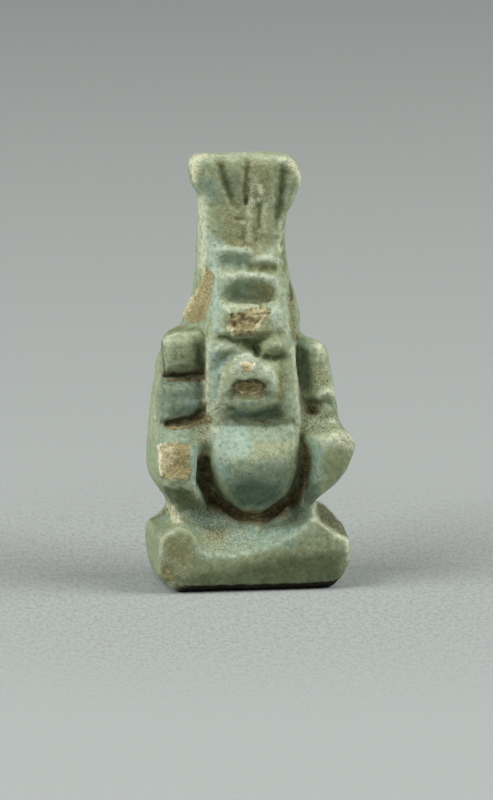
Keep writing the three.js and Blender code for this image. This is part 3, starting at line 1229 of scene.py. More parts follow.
FACE = relief(
    "208,330 291,330 295,350 298,375 300,400 302,426 208,426 206,400 205,372 206,345",
    {
        334: "208,3.64 214,4 224,4.26 234,4.32 246,4.28 258,4.2 270,4.02 280,3.78 289,3.3 294,2.8",
        339: (
            "208,3.8 215,4.02 222,4 230,3.94 240,3.86 250,3.78 258,3.76 266,3.9 274,3.98 281,3.78 289,3.34 "
            "294,2.83"
        ),
        343: (
            "208,3.88 214,4.1 220,4.16 228,4.08 235,3.86 242,3.74 250,3.64 257,3.5 262,3.76 268,4.06 "
            "276,4.14 283,3.84 289,3.42 295,2.88"
        ),
        348: (
            "207,3.94 214,4.2 222,4.3 229,4.26 236,4.04 242,3.84 249,3.72 256,3.4 261,3.7 267,4.06 276,4.14 "
            "283,3.86 289,3.44 295,2.9"
        ),
        353: (
            "207,3.96 214,4.2 221,4.22 228,4.12 235,4.08 241,4.2 248,4.16 253,3.9 258,3.5 264,3.7 271,3.82 "
            "278,3.76 284,3.52 291,3.4 296,2.92"
        ),
        358: (
            "207,3.96 213,4.14 219,4.02 225,4 231,4.2 238,4.46 247,4.56 254,4.38 260,3.96 267,3.5 275,3.34 "
            "282,3.38 289,3.38 296,2.95"
        ),
        364: (
            "207,3.93 213,4.04 218,4 225,4.2 232,4.52 240,4.8 250,4.84 258,4.6 266,4.08 274,3.66 283,3.44 "
            "290,3.35 297,2.95"
        ),
        370: (
            "207,3.88 214,4.02 221,4.12 228,4.42 237,4.78 248,4.92 258,4.74 267,4.46 275,4.02 283,3.52 "
            "291,3.32 298,2.9"
        ),
        376: (
            "207,3.84 214,4 221,4.12 228,4.42 236,4.7 248,4.8 260,4.64 269,4.42 277,3.94 284,3.46 291,3.3 "
            "299,2.85"
        ),
        379.5: (
            "207,3.82 214,3.98 222,4.11 228,4.4 236,4.66 248,4.74 260,4.62 269,4.4 277,3.94 284,3.45 "
            "292,3.28 299,2.83"
        ),
        383: (
            "207,3.8 214,3.97 222,4.1 228,4.38 234,4.46 241,4.34 249,4.28 257,4.26 264,4.32 271,4.3 277,3.92 "
            "284,3.42 292,3.26 299,2.82"
        ),
        388: (
            "208,3.76 215,3.92 222,4.05 228,4.32 234,4.22 242,4.02 250,3.96 258,3.93 265,4.08 271,4.2 "
            "278,3.8 285,3.4 293,3.22 299,2.8"
        ),
        393: (
            "208,3.72 215,3.89 222,4.01 229,4.24 235,4.1 242,3.97 250,3.92 258,3.9 265,4 271,4.04 278,3.7 "
            "285,3.36 293,3.21 300,2.77"
        ),
        397: (
            "208,3.7 215,3.85 222,3.94 229,4.06 238,4.12 250,4.1 262,3.98 271,3.78 278,3.52 286,3.34 293,3.2 "
            "300,2.75"
        ),
        401: (
            "208,3.64 215,3.78 222,3.84 230,4.02 240,4.32 252,4.32 263,4.06 271,3.7 279,3.4 287,3.32 "
            "294,3.14 301,2.7"
        ),
        405: (
            "208,3.57 215,3.7 222,3.72 229,3.84 239,4.2 252,4.2 262,3.92 270,3.5 279,3.28 287,3.26 294,3.1 "
            "301,2.65"
        ),
        410: (
            "208,3.5 215,3.62 222,3.58 229,3.56 239,3.74 252,3.72 264,3.4 272,3.12 280,3.08 287,3.18 "
            "294,3.04 301,2.6"
        ),
        415: (
            "208,3.42 215,3.55 222,3.42 230,3.2 240,3.08 252,3 264,2.92 274,2.86 282,3 289,3.08 295,2.95 "
            "302,2.5"
        ),
        422: (
            "208,3.3 215,3.42 223,3.28 231,3.1 241,2.98 252,2.92 264,2.86 274,2.86 282,2.96 289,2.98 "
            "296,2.78 302,2.4"
        ),
    },
)
LEFT_ARM = relief(
    "161,334 180,331 200,331 206,340 206,446 160,446 159,425 159,380 163,372",
    {
        334: "161,3.1 170,3.5 180,3.6 190,3.5 198,3.38 205,3.4",
        339: "161,3.2 167,3.85 175,4.02 186,3.95 193,3.74 199,3.5 205,3.4",
        346: "161,3.2 166,4 174,4.18 184,4.16 191,3.94 198,3.52 205,3.3",
        354: "161,3.1 166,3.92 174,4.14 184,4.1 191,3.84 198,3.42 205,3.2",
        361: "162,3.1 167,3.8 175,4.02 184,3.94 192,3.62 199,3.22 205,3.15",
        367: "163,3 168,3.6 176,3.82 185,3.7 193,3.34 200,3 205,3.05",
        371: "163,3 170,3.15 178,3.2 187,3.05 195,2.9 200,2.86 205,3",
        376: "163,2.7 170,2.8 180,2.84 190,2.82 197,2.82 201,2.86 205,3.05",
        381: "162,2.95 170,3.08 180,3.1 190,3.05 198,2.98 205,3.1",
        384: "160,3.4 168,3.65 178,3.7 188,3.6 196,3.3 200,3.1 205,3.2",
        388: "160,3.68 167,3.98 176,4.02 185,3.95 192,3.72 199,3.36 205,3.3",
        396: "160,3.68 167,4 176,4.03 185,3.92 192,3.64 199,3.32 205,3.36",
        404: "160,3.58 167,3.96 177,4.02 187,3.95 194,3.72 200,3.38 205,3.3",
        409: "160,3.5 167,3.9 176,3.96 186,3.84 193,3.5 199,3.08 205,3.05",
        414: "160,3.45 167,3.82 174,3.82 182,3.6 190,3.16 198,2.86 206,2.98",
        419: "160,3.35 167,3.66 174,3.42 182,3.06 190,2.86 198,2.9 206,3.05",
        424: "160,2.9 168,2.84 178,2.92 188,2.98 197,3.02 206,3.12",
        429: "160,3.4 168,3.7 178,3.72 188,3.5 196,3.16 206,3.12",
        434: "160,3.85 168,4.25 178,4.25 186,4.12 193,3.6 199,3.15 206,3.08",
        442: "160,4.1 168,4.52 178,4.56 186,4.46 192,4.1 198,3.4 206,3.05",
    },
)
RIGHT_ARM = relief(
    "297,334 309,336 324,343 330,360 333,380 336,400 341,426 336,431 300,434 301,410 299,385 296,360",
    {
        338: "298,2 306,2.1 312,2.2 320,2.1",
        343: "297,2 303,2.2 309,2.55 315,2.8 323,2.6",
        349: "297,1.85 302,2.1 308,2.55 313,2.9 318,3 326,2.68",
        357: "297,1.7 302,1.88 308,2.28 314,2.74 320,2.94 328,2.62",
        370: "298,1.62 303,1.74 309,2.05 315,2.44 321,2.68 330,2.42",
        380: "299,1.62 304,1.75 310,2.05 316,2.4 322,2.64 332,2.34",
        388: "300,1.7 305,1.8 311,2.04 317,2.38 324,2.68 334,2.4",
        395: "301,1.85 306,1.85 312,2.05 318,2.44 325,2.8 334,2.5",
        400: "302,1.9 307,1.78 313,1.74 319,1.9 326,2.4 335,2.5",
        406: "303,1.95 308,1.7 313,1.52 318,1.62 324,2 330,2.3 336,2.3",
        411: "303,2 308,1.7 313,1.54 318,1.74 324,2.05 330,2.2 337,2.1",
        417: "303,2.05 309,1.95 315,1.98 322,2.02 330,1.95 338,1.75",
        423: "302,2.12 310,2.14 318,2.16 326,2.12 334,1.98 340,1.7",
        429: "300,2.1 308,2.15 318,2.2 328,2.2 336,2.05 342,1.9",
    },
)
BELLY = relief(
    "206,426 298,426 299,445 299,462 294,481 285,496 268,508 252,513 238,508 224,498 215,483 209,465 205,448",
    {
        426: "206,3 213,3.3 222,3.32 236,3.22 250,3.16 266,3.04 280,3 290,2.92 297,2.6",
        433: "206,2.95 212,3.35 222,3.52 236,3.56 250,3.52 266,3.4 280,3.25 291,3 297,2.6",
        441: "206,2.8 212,3.4 222,3.66 236,3.78 250,3.78 266,3.66 280,3.46 291,3.1 297,2.6",
        449: "206,2.55 212,3.4 222,3.78 236,3.99 250,4.03 266,3.93 280,3.66 291,3.2 297,2.55",
        457: "206,2.3 211,3.3 221,3.85 236,4.12 250,4.2 266,4.09 280,3.75 290,3.15 296,2.35",
        465: "207,2.1 212,3.2 222,3.82 236,4.14 250,4.24 266,4.1 280,3.74 290,3.08 296,2.2",
        474: "210,2.2 216,3.25 225,3.76 238,4.1 252,4.16 266,4 278,3.6 287,2.95 293,2.1",
        483: "214,2.1 220,3.05 229,3.5 240,3.78 252,3.84 264,3.7 275,3.36 284,2.8 290,1.95",
        492: "219,1.9 226,2.8 236,3.25 245,3.45 254,3.48 264,3.36 273,3.05 281,2.5",
        501: "230,1.9 237,2.65 246,3 254,3.05 263,2.9 270,2.5 276,1.9",
        509: "240,2 247,2.5 254,2.6 261,2.4 267,1.9",
    },
)
LEFT_GROOVE = relief(
    "190,424 210,424 211,445 210,460 200,466 196,452 190,446",
    {
        424: "190,2.98 198,3.02 204,3.08 210,3.14",
        430: "190,3.46 196,3.16 203,3.1 210,3.2",
        440: "190,4.2 196,3.6 202,3.3 208,3.3 211,3.4",
        449: "190,4.4 196,3.9 201,3.2 206,3 211,3.2",
        456: "192,4.4 197,3.9 201,3 206,2.75 211,3.05",
        464: "194,4.2 198,3.6 202,2.3 206,2 211,2.65",
    },
)
RIGHT_LEG = relief(
    "299,436 312,432 330,429 348,428 354,440 354,456 349,468 338,480 326,492 319,502 304,503 306,485 306,460 "
    "303,445",
    {
        430: "300,2 308,2.15 316,2.4 326,2.75 338,2.85 348,2.75",
        436: "300,1.7 306,2.15 312,2.75 320,3.15 332,3.26 344,3.18 352,2.9",
        444: "303,1.7 309,2.5 315,3.12 322,3.42 334,3.44 344,3.36 353,3.05",
        456: "306,1.6 311,2.2 316,2.95 323,3.4 334,3.36 345,3.22 353,2.95",
        468: "308,1.6 312,2.2 317,2.82 324,3.1 334,3.04 342,2.84 349,2.5",
        480: "307,1.6 312,2.2 318,2.58 325,2.68 332,2.5 338,2.2",
        492: "305,1.7 311,2.08 317,2.28 323,2.15 327,1.9",
        501: "303,1.6 309,1.85 315,1.98 319,1.85",
    },
)
LEFT_SHIN = relief(
    "160,478 194,478 202,492 206,508 222,508 226,526 196,528 180,520 172,508 164,494",
    {
        480: "160,3.9 168,4.45 178,4.5 188,4.4 195,4.1",
        485: "162,3.7 168,4.2 178,4.3 188,4.25 196,3.95 200,2.9",
        490: "164,3.1 170,3.7 178,3.85 188,3.95 196,3.75 202,2.6",
        498: "167,2.5 173,3.2 181,3.4 190,3.45 198,3.3 204,2.4",
        506: "172,2.3 178,2.85 186,2.95 194,2.9 202,2.6 209,2.2 218,1.9",
        514: "180,2.7 188,2.7 196,2.6 204,2.35 212,2.2 222,2.1",
        522: "186,2.7 196,2.55 206,2.35 216,2.25 224,2.2",
    },
)
CROWN_LINES = (
    # Painted shade in the plumes' grooves, with olive glaze and earth.
    line("219,160 223,174 228,189 236,206", 15, 17, -0.13, dark=0.35, olive=1),
    line("220,164 224,177 231,197", 14, 14, -0.05, dark=0.85, olive=1, earth=0.25),
    line("248,158 247,175 245,200", 15, 13, -0.1, olive=1, dark=0.3, earth=0.3),
    line("247,163 246.5,180 245.5,200", 10, 10, -0.04, dark=0.65, earth=0.35),
    line("246,199 246,203", 8, 8, -0.08, earth=1, dark=0.8),
    line("285,168 281,190 278,208 278,226", 20, 20, -0.17, dark=0.4, olive=0.8),
    line("284,172 280,192 278,217", 15, 16, -0.06, dark=0.85, olive=1, earth=0.1),
    line("280,186 278,208", 11, 11, dark=1, earth=0.3),
    line("258,198 260,212 260,228", 9, 9, -0.1, dark=0.7, olive=1),
    line("259,186 261,193 258,200", 8, 8, 0.03, pale=1, olive=1, cream=0.58),
    line("253,180 253,192 251,206", 9, 9, 0.02, pale=0.5, olive=0.7, grit=0.8),
    line("265,200 266,215 264,232", 7, 8, 0.02, pale=0.45),
    line("248,206 250,222 249,240", 8, 8, 0.03, pale=0.7),
    line("237,219 242,220", 8, 7, -0.05, earth=0.9),
    line("242,223 245,224", 5, 5, pale=1),
    line("242,230 243,245", 5, 5, -0.03, dark=0.7, earth=0.3),
    line("256,228 256,246", 5, 5, -0.03, dark=0.6),
    line("283,216 280,236 280,250", 7, 8, 0.02, pale=1),
    line("190,162 196,158 206,156", 18, 10, pale=1, grit=1, cream=0.5),
    line("193,160 195,168 195,178", 19, 12, pale=1, grit=1, cream=0.5),
    line("206,156 245,155 284,157", 8, 8, pale=0.7, grit=1),
    line("282,159 292,164 298,174 301,188", 15, 12, pale=1, grit=1, cream=0.5),
    # Painted light on the side strip that faces the left lamp.
    line("201,200 203,230 203,266", 19, 17, pale=1, cream=0.36, aqua=-0.3),
)
BAND_LINES = (
    line("228,243 240,245 252,246", 7, 7, -0.02, earth=0.55, olive=1, grit=0.7),
    line("253,247 259,251 259,256", 8, 7, earth=0.35, olive=0.8, grit=0.7),
    # Painted highlights on the lit lips of the band, with rubbed wear.
    line("214,250 222,249 240,250 250,252", 8, 8, 0.02, pale=0.7, aqua=0.7),
    line("251,252 253,258", 5, 5, 0.02, pale=0.7),
    line("256,259 264,257 272,256 279,262", 8, 7, 0.02, pale=0.9, aqua=0.3),
    line(
        "213,270 220,276 232,277 244,274 258,276 270,278 277,284 280,294",
        11, 10, 0.02, pale=0.8, aqua=0.5, dark=-1,
    ),
    line("238,272 250,271 264,272 275,272", 4, 4, earth=0.2, olive=0.8),
    line("220,292 226,285 235,280", 8, 7, 0.03, pale=0.6, aqua=0.6, dark=-1),
    line("268,281 275,286 279,294", 8, 8, 0.03, pale=0.5, olive=0.3, dark=-1),
    line("222,304 228,306 252,307 270,305", 6, 6, 0.02, pale=0.6, grit=1),
    line("221,301 225,307 229,313", 5, 5, 0.03, pale=0.8),
    line("250,303 262,303 270,300", 7, 6, earth=0.5, dark=0.4),
    # Painted shade, with earth, in the grooves along the band's right side.
    line("282,240 283,255 285,270", 5, 5, -0.03, dark=0.7),
    line("290,284 291,294 292,300", 6, 6, -0.05, dark=0.7, earth=0.6),
    line("291,300 293,320 295,338", 10, 10, -0.02, dark=0.5, olive=0.9, earth=0.3, grit=0.8),
    line("284,290 286,310 289,335", 6, 6, 0.02, pale=0.5),
)
FACE_LINES = (
    # Painted shadow under the brow, in the notch and in the left eye's groove.
    line("221,337 228,338 236,342 246,341 256,343 264,339", 8, 9, -0.03, dark=0.8, olive=0.9, earth=0.2),
    line("247,343 254,347 257,354", 17, 11, -0.07, dark=1, olive=0.9),
    line("264,336 274,334 282,331", 8, 8, -0.02, dark=0.35, olive=1),
    line("240,352 231,355 223,360 216,367", 9, 12, -0.04, dark=0.5, aqua=0.6),
    # Painted highlight on the left lid.
    line("210,352 220,347 232,346", 7, 8, 0.03, pale=0.6, aqua=0.5),
    # Painted shade under the right eye.
    line("264,356 273,358 283,357", 10, 10, -0.04, dark=0.7, olive=1),
    line("265,343 273,342 281,346", 8, 8, 0.03, pale=0.25, olive=0.8, dark=0.15),
    # Painted highlights on the nose, the right cheek and the top of the muzzle.
    line("234,360 240,356 250,355", 9, 8, 0.02, pale=0.9, aqua=0.5),
    line("266,368 271,374 274,384", 17, 11, 0.03, pale=0.9, aqua=0.4),
    line("232,371 236,377 248,377 260,376", 7, 7, 0.01, pale=0.6, grit=0.8),
    line("224,375 222,385 220,396 218,405", 7, 6, 0.06, pale=1, olive=0.9, aqua=-0.9, grit=0.7),
    line("212,378 212,392", 5, 5, pale=0.9, olive=0.9, aqua=-0.9),
    line("281,352 281,375 281,400", 7, 8, -0.03, dark=0.3, olive=1),
    # Painted highlight along the head's right edge, lit by the right lamp.
    line("293,345 295,370 297,400 299,424", 6, 6, 0.03, pale=0.8),
    line("208,338 208,350 207,366", 8, 7, 0.02, pale=0.9, olive=0.8, earth=0.2),
    line("207,366 207,385 208,420", 7, 7, 0.02, pale=1, grit=1),
    # Painted shadow under the upper lip and along the mouth's lower rim.
    line("233,386 238,381 248,379.5 259,380.5 265,386", 5, 5, -0.02, dark=1, earth=0.4, olive=0.6),
    line("230,392 240,397 250,398.5 260,397 267,392", 8, 8, dark=0.8, olive=0.9),
    line("229,327 234,333 241,335", 8, 6, 0.02, cream=1),
    line("243,335 250,330 260,324 267,314", 5, 5, 0.02, cream=0.9),
    line("250,312 257,309 264,310", 7, 6, cream=0.75),
    line("252,318 260,316 264,315", 6, 6, cream=0.6),
    line("242,364 248,362 254,364 251,369", 5, 6, cream=0.9),
    line("204,270 199,288 190,300 184,309 184,316", 4, 5, 0.02, cream=0.85),
    line("192,300 188,310", 8, 8, cream=0.5),
    # Painted shade on the lower lip's band and a painted highlight on the chin's lit edge.
    line("233,398 241,400 250,400.5 260,399 266,396", 14, 13, dark=0.6, olive=0.4),
    line("228,400 236,402 248,403.5 260,402 268,399", 5, 5, pale=0.2, aqua=0.6),
    # Painted shadow under the chin.
    line("229,407 236,412 246,415 258,415 278,409", 11, 17, dark=1, aqua=0.5),
    line("232,417 246,423 266,425 294,421", 10, 14, dark=0.7),
    line("240,414 262,418 280,415", 16, 18, dark=0.85, olive=0.3),
    line("236,412 247,413", 8, 8, aqua=0.9, dark=-0.3),
    line("255,420 269,421", 8, 8, earth=0.7, grit=0.8),
    line("283,408 286,420", 7, 8, olive=0.9, dark=0.3),
)
LIMB_LINES = (
    # Painted highlight on the upper arm's top.
    line("164,342 168,338 180,334 194,333", 9, 6, pale=0.8, dark=-0.8),
    line("168,331 184,328 198,329", 5, 5, olive=0.9, dark=0.3),
    line("161,342 162,356 165,372", 4, 5, -0.1, dark=1, earth=0.6),
    # Painted shade, with earth, in the groove under the upper arm.
    line("165,375 180,375 203,373", 9, 14, dark=0.95, earth=0.9),
    line("168,380 186,380 204,379", 6, 8, earth=0.9, dark=-0.3, grit=0.6),
    line("188,372 198,369 205,363", 3, 3, earth=0.9, dark=-0.7, grit=0.8),
    line("190,376 198,375 205,371", 3, 3, earth=0.9, dark=-0.7, grit=0.8),
    line("160,371 166,375", 6, 6, olive=1, earth=0.5),
    # Painted shade, with earth, in the groove under the forearm.
    line("165,423 178,419 192,415 204,410", 6, 12, dark=1, earth=0.6),
    line("165,425 180,422 202,416", 5, 12, earth=1, dark=0.5),
    line("168,428 188,426 208,419", 7, 16, earth=1, dark=-1, grit=1, chip=0.62),
    line("196,420 204,412 207,402", 7, 5, earth=0.9, dark=-0.8, grit=1, cream=0.2),
    # Painted shade where the arm blocks turn away from the lamps and under them.
    line("196,346 200,358 202,370", 14, 18, dark=0.75, earth=0.55),
    line("180,366 192,366 202,364", 7, 10, dark=0.7),
    line("200,382 201,395 200,406", 11, 11, dark=0.75, earth=0.3),
    line("205,380 205,395 205,412", 5, 5, pale=0.8, grit=1),
    # Painted highlights on the right shoulder's top and ridge.
    line("318,347 320,353 318,360", 13, 11, 0.07, pale=1, cream=0.35),
    line("300,343 310,345 318,346", 8, 9, pale=0.4, aqua=0.8),
    line("323,348 325,360 327,372", 9, 8, pale=0.7, olive=0.3),
    # Painted shade in the groove between the head and the right arm.
    line("304,350 308,368 310,385", 12, 11, dark=0.75, aqua=0.45),
    line("301,388 303,402 305,416", 9, 12, earth=0.5, pale=0.5, grit=1),
    # Painted highlights on the elbow and below it.
    line("320,395 327,392 334,392", 13, 12, 0.08, pale=1, cream=0.4),
    line("326,404 331,412 334,420", 11, 12, 0.04, pale=0.9, dark=-0.8),
    # Painted shade under the elbow.
    line("307,402 317,403 327,402", 11, 7, dark=0.7, olive=1),
    line("311,410 315,411", 12, 12, -0.06, earth=1, grit=1, dark=0.2),
    line("322,440 332,437 342,435 350,440", 8, 12, 0.02, pale=1, grit=1),
    line("300,434 312,433 330,430", 4, 4, -0.03, dark=0.4, olive=0.6),
    line("203,459 204,474 208,491 221,507 241,517", 22, 29, earth=1, dark=-0.9),
    # Painted shade along the belly's left edge.
    line("203,458 203,475 207,492", 10, 14, dark=0.3),
    line("242,516 260,518 276,511", 28, 26, earth=1, grit=0.4, dark=-1),
    line("277,512 294,500 304,483 306,464 305,448", 27, 18, earth=1, grit=0.5, dark=-1),
    line("298,430 300,442 303,454", 12, 14, olive=0.8, pale=0.3, grit=1, earth=-0.4),
    line("291,424 293,440 294,458", 6, 6, 0.02, pale=0.7),
    line("163,484 176,486 190,488 199,498", 5, 5, 0.03, pale=0.4),
    line("159,445 160,460 162,477", 6, 5, 0.02, cream=0.85),
    line("160,444 170,442 182,443", 5, 4, 0.02, cream=0.6),
    line("168,480 180,482 189,479", 4, 4, cream=0.6),
    line("164,452 172,450", 9, 8, cream=0.45),
    # Painted highlight on the shin's ridge.
    line("188,484 197,492 203,502", 7, 8, 0.02, pale=0.3, aqua=0.6),
)
BASE_LINES = (
    line("147,521 157,514 167,508", 4, 4, pale=0.8),
    line("151,518 160,514 168,509", 6, 10, -0.06, dark=0.8, earth=0.3, pale=-1),
    line("158,520 166,518", 8, 8, aqua=1, dark=0.25, grit=0.6),
    line("161,541 170,531 180,526", 6, 6, 0.02, pale=0.6),
    line("188,529 195,538", 6, 6, 0.02, pale=0.6),
    line("161,538 161,552", 6, 6, 0.02, pale=0.8, cream=0.4, grit=0.6),
    line("200,553 225,555.5 250,553", 4, 4, -0.01, pale=0.5, aqua=0.6),
    line("312,519 330,530 348,543", 5, 7, 0.02, pale=0.6, cream=0.3, grit=0.8),
    line("347,541 349,548 347,558", 6, 4, 0.02, pale=1, cream=0.4, grit=0.8),
    line("315,503 313,510 318,518", 8, 6, 0.02, pale=0.7, cream=0.3, grit=1),
)
TINTS = (
    area("200,164 290,164 290,180 285,215 285,245 216,245 214,215 204,190", 12, olive=0.45, dark=0.16),
    area("224,170 242,170 242,198 232,198", 8, dark=0.42, olive=0.5),
    area("248,160 274,164 270,196 250,200", 9, olive=1, earth=0.22, grit=0.2),
    area("220,200 262,200 268,246 222,246", 12, olive=1, earth=0.15, grit=0.25),
    area("203,176 218,180 218,202 204,202", 9, aqua=0.4, dark=0.2),
    area("206,236 220,240 222,250 220,272 221,330 212,335 208,290", 9, aqua=0.8, pale=0.5),
    # Painted shade in the upper recess of the band, with darker glaze.
    area("219,254 246,254 252,262 248,268 222,268", 7, aqua=0.5, olive=0.3, dark=0.14),
    area("247,264 278,266 277,273 250,273", 5, olive=1, dark=0.2),
    # Painted shade in the lower recess, with darker glaze and earth.
    area("224,290 232,283 256,282 262,302 228,302", 8, aqua=0.3, dark=0.22),
    area("250,284 270,284 278,294 272,303 246,303", 7, olive=1, dark=0.1, earth=0.25),
    area("232,295 272,295 270,304 234,304", 6, dark=0.5, earth=0.3),
    # Painted highlight on the forehead's right knob.
    area("269,308 284,308 284,328 270,328", 7, pale=0.6, aqua=0.5),
    # Painted shade under the brow's right part, with olive glaze.
    area("246,326 282,320 284,338 250,340", 8, olive=0.9, dark=0.15),
    area("209,345 222,345 222,400 209,405", 8, aqua=0.7),
    area("228,354 258,354 268,374 232,376", 9, aqua=0.3, pale=0.35, grit=0.5),
    area("277,350 285,350 286,402 278,402", 6, olive=0.9),
    area("207,398 220,400 227,412 224,430 207,432", 7, pale=0.9, olive=0.8, grit=0.6),
    area(
        "231,389 234,383 241,380 250,379 260,380 266,385 266,391 260,395 250,396 240,395 233,393",
        4, earth=0.85, grit=1, pale=-1, aqua=-1,
    ),
    # Painted shade on the arm blocks, darkest where they turn away from the lamps.
    area("170,344 198,342 200,368 168,368", 14, dark=0.38, olive=0.2, grit=0.3),
    area("188,342 204,338 204,370 184,370", 14, dark=0.6),
    area("158,380 202,380 202,412 158,420", 10, dark=0.56, aqua=0.5),
    area("182,394 196,394 196,410 184,412", 8, aqua=1),
    area("212,424 248,424 252,456 222,460 213,448", 12, aqua=0.9, pale=0.35),
    area("250,442 294,438 294,466 250,464", 10, olive=0.7, pale=0.25),
    area("246,424 298,424 298,440 250,442", 10, aqua=0.35, pale=0.15, dark=0.12),
    area("214,456 228,462 236,484 228,486 216,470", 9, aqua=0.9, pale=0.2),
    # Painted shade on the belly's lower part, which faces down.
    area("222,464 294,457 286,484 266,505 238,505 226,484", 10, aqua=0.4, olive=0.5, dark=0.55),
    area("226,482 250,478 288,482 272,508 240,510", 14, dark=1, aqua=0.9),
    # Painted shade on the left shin's lower facet and beside its foot.
    area("162,486 190,489 200,501 200,512 178,512 168,500", 6, dark=0.9),
    area("184,494 204,498 222,510 222,520 190,518", 8, dark=0.75, earth=0.3, grit=0.5),
    area("164,502 174,503 182,524 172,524", 6, pale=0.9, olive=0.9, cream=0.55, grit=1),
    area("180,508 230,514 268,524 250,530 200,530", 10, aqua=0.7, dark=0.5, grit=0.6),
    area("258,520 288,512 312,492 310,526 262,532", 10, aqua=0.5, dark=0.85, grit=0.4),
    area("191,446 201,446 201,484 192,484", 7, aqua=0.7, dark=0.25),
    area("322,446 348,444 346,466 330,480 322,470", 12, olive=0.6),
    area("306,440 322,440 322,478 309,484", 9, aqua=0.7, dark=0.25),
    area("300,482 320,482 318,503 302,506", 8, dark=0.9, aqua=0.7),
    # Painted shade on the plinth's right top facet, which faces away from the lamps.
    area(
        "315,498 330,500 354,526 354,541 346,538 318,520",
        5, dark=0.85, earth=0.4, olive=0.4, grit=0.8, pale=-1,
    ),
    area("336,431 352,434 352,448 340,444", 7, pale=0.9, earth=0.35, grit=1),
    area("300,412 338,412 338,430 300,436", 7, grit=1, dark=0.15),
    area("306,366 326,366 330,390 306,394", 8, grit=0.9, olive=0.7),
    area("196,425 208,425 208,444 196,444", 7, grit=1, dark=0.2),
    area("205,526 228,528 226,542 208,540", 10, earth=0.45, olive=0.6, grit=1),
    area("198,524 240,530 262,530 250,552 204,552", 8, grit=0.9, dark=0.14),
    area("156,426 198,424 192,441 158,443", 8, dark=0.2, aqua=0.4),
    area("165,536 190,534 194,560 166,560", 7, olive=1, earth=0.22, grit=0.25),
    area("226,532 264,530 262,546 228,548", 10, aqua=0.7, dark=0.12),
    area("264,530 302,524 296,536 266,546", 9, aqua=0.9, dark=0.15, grit=0.6),
    area("200,548 264,546 300,534 300,544 250,556 200,560", 6, aqua=0.4),
    # Painted shade on the plinth's front.
    area("164,545 345,550 342,578 166,584", 16, olive=0.5, dark=0.12),
    area("144,372 158,372 158,440 142,440", 8, pale=0.35, olive=0.3),
    # Painted shade along the plinth's lower edge and over the lower figure.
    area("176,576 230,568 294,552 346,550 343,586 176,588", 18, dark=0.92, olive=0.4),
    area("150,500 220,515 300,512 320,500 350,545 346,582 150,582", 12, dark=0.2),
    area("196,424 210,424 211,446 196,446", 8, olive=0.6, pale=0.25, grit=1),
    area("160,560 186,556 190,584 160,584", 12, olive=0.8, earth=0.2, grit=0.4),
)
CHIPS = (
    area(
        "228,320 233,313 245,311 252,308 263,307 272,309 269,318 260,326 252,332 244,338 233,336 227,329",
        3, -0.12, 0.17, 0.34, chip=1, pale=-1,
    ),
    area("229,320 236,314 248,313 250,319 242,325 234,326", 5, -0.03, dark=0.12),
    area(
        "233,388 236,383 248,381 262,383 265,389 258,394 240,394",
        4, -0.02, 0.12, 0.22, chip=0.95, dark=0.15,
    ),
    area("235,388 243,391 257,391 264,388 258,394 241,394", 2, cream=0.5),
    # Painted shadow under the upper lip, inside the mouth.
    area("240,384 261,384 260,389 241,389", 4, dark=0.3),
    area("236,382 248,379 261,382 262,386 248,384 236,387", 3, dark=1),
    area(
        "207,266 203,272 198,290 190,300 183,310 187,322 197,322 205,315 210,300 212,275",
        5, -0.07, 0.035, 0.34, chip=1, aqua=-1, pale=-1,
    ),
    area("202,270 198,289 190,300 182,310 187,323 185,311 191.5,301 199,290", 1, cream=0.7),
    area("190,308 206,303 202,322 190,322", 7, dark=0.6),
    area(
        "160,447 166,442 178,444 189,443 190,456 191,470 187,481 174,480 163,478 160,462",
        7, -0.03, 0.07, 0.3, chip=1,
    ),
    area("158,446 172,442 178,456 166,474 159,474", 8, cream=0.5),
    area("176,446 190,446 190,480 172,480", 8, dark=0.5),
    area("240,364 248,360 255,363 253,371 243,372", 5, -0.02, 0.05, 0.24, chip=1),
    area("160,570 167,565 176,572 183,585 166,584", 8, -0.08, 0.05, 0.28, chip=0.5, dark=0.6, grit=0.5),
)

PULLS = ((line("316,511 323,511", 26, 22), 1.0, -9.0),)

FORMS = (CROWN, LEFT_STRIP, BAND, FACE, LEFT_ARM, RIGHT_ARM, BELLY, LEFT_GROOVE, RIGHT_LEG, LEFT_SHIN)


@dataclass(frozen=True)
class Carving:
    """What the photograph shows on the figure beyond the solid's forms.

    Attributes:
        left_outline: Picture points of the left outline, from the top down.
        right_outline: Picture points of the right outline, from the top down.
        forms: The depths of the main forms.
        pulls: Lines along which the surface shifts, with the pixels to the right and downwards.
        tints: Areas of tint, dirt, painted shade and rough ground that are laid before the lines.
        strokes: The grooves, ridges and painted lines, among them painted shadows and painted highlights.
        chips: Broken areas and late touches that are laid after the lines.
    """

    left_outline: tuple[Point, ...] = LEFT_OUTLINE
    right_outline: tuple[Point, ...] = RIGHT_OUTLINE
    forms: tuple[Form, ...] = FORMS
    pulls: tuple[tuple[Stroke, float, float], ...] = PULLS
    tints: tuple[Patch, ...] = TINTS
    strokes: tuple[Stroke, ...] = CROWN_LINES + BAND_LINES + FACE_LINES + LIMB_LINES + BASE_LINES
    chips: tuple[Patch, ...] = CHIPS


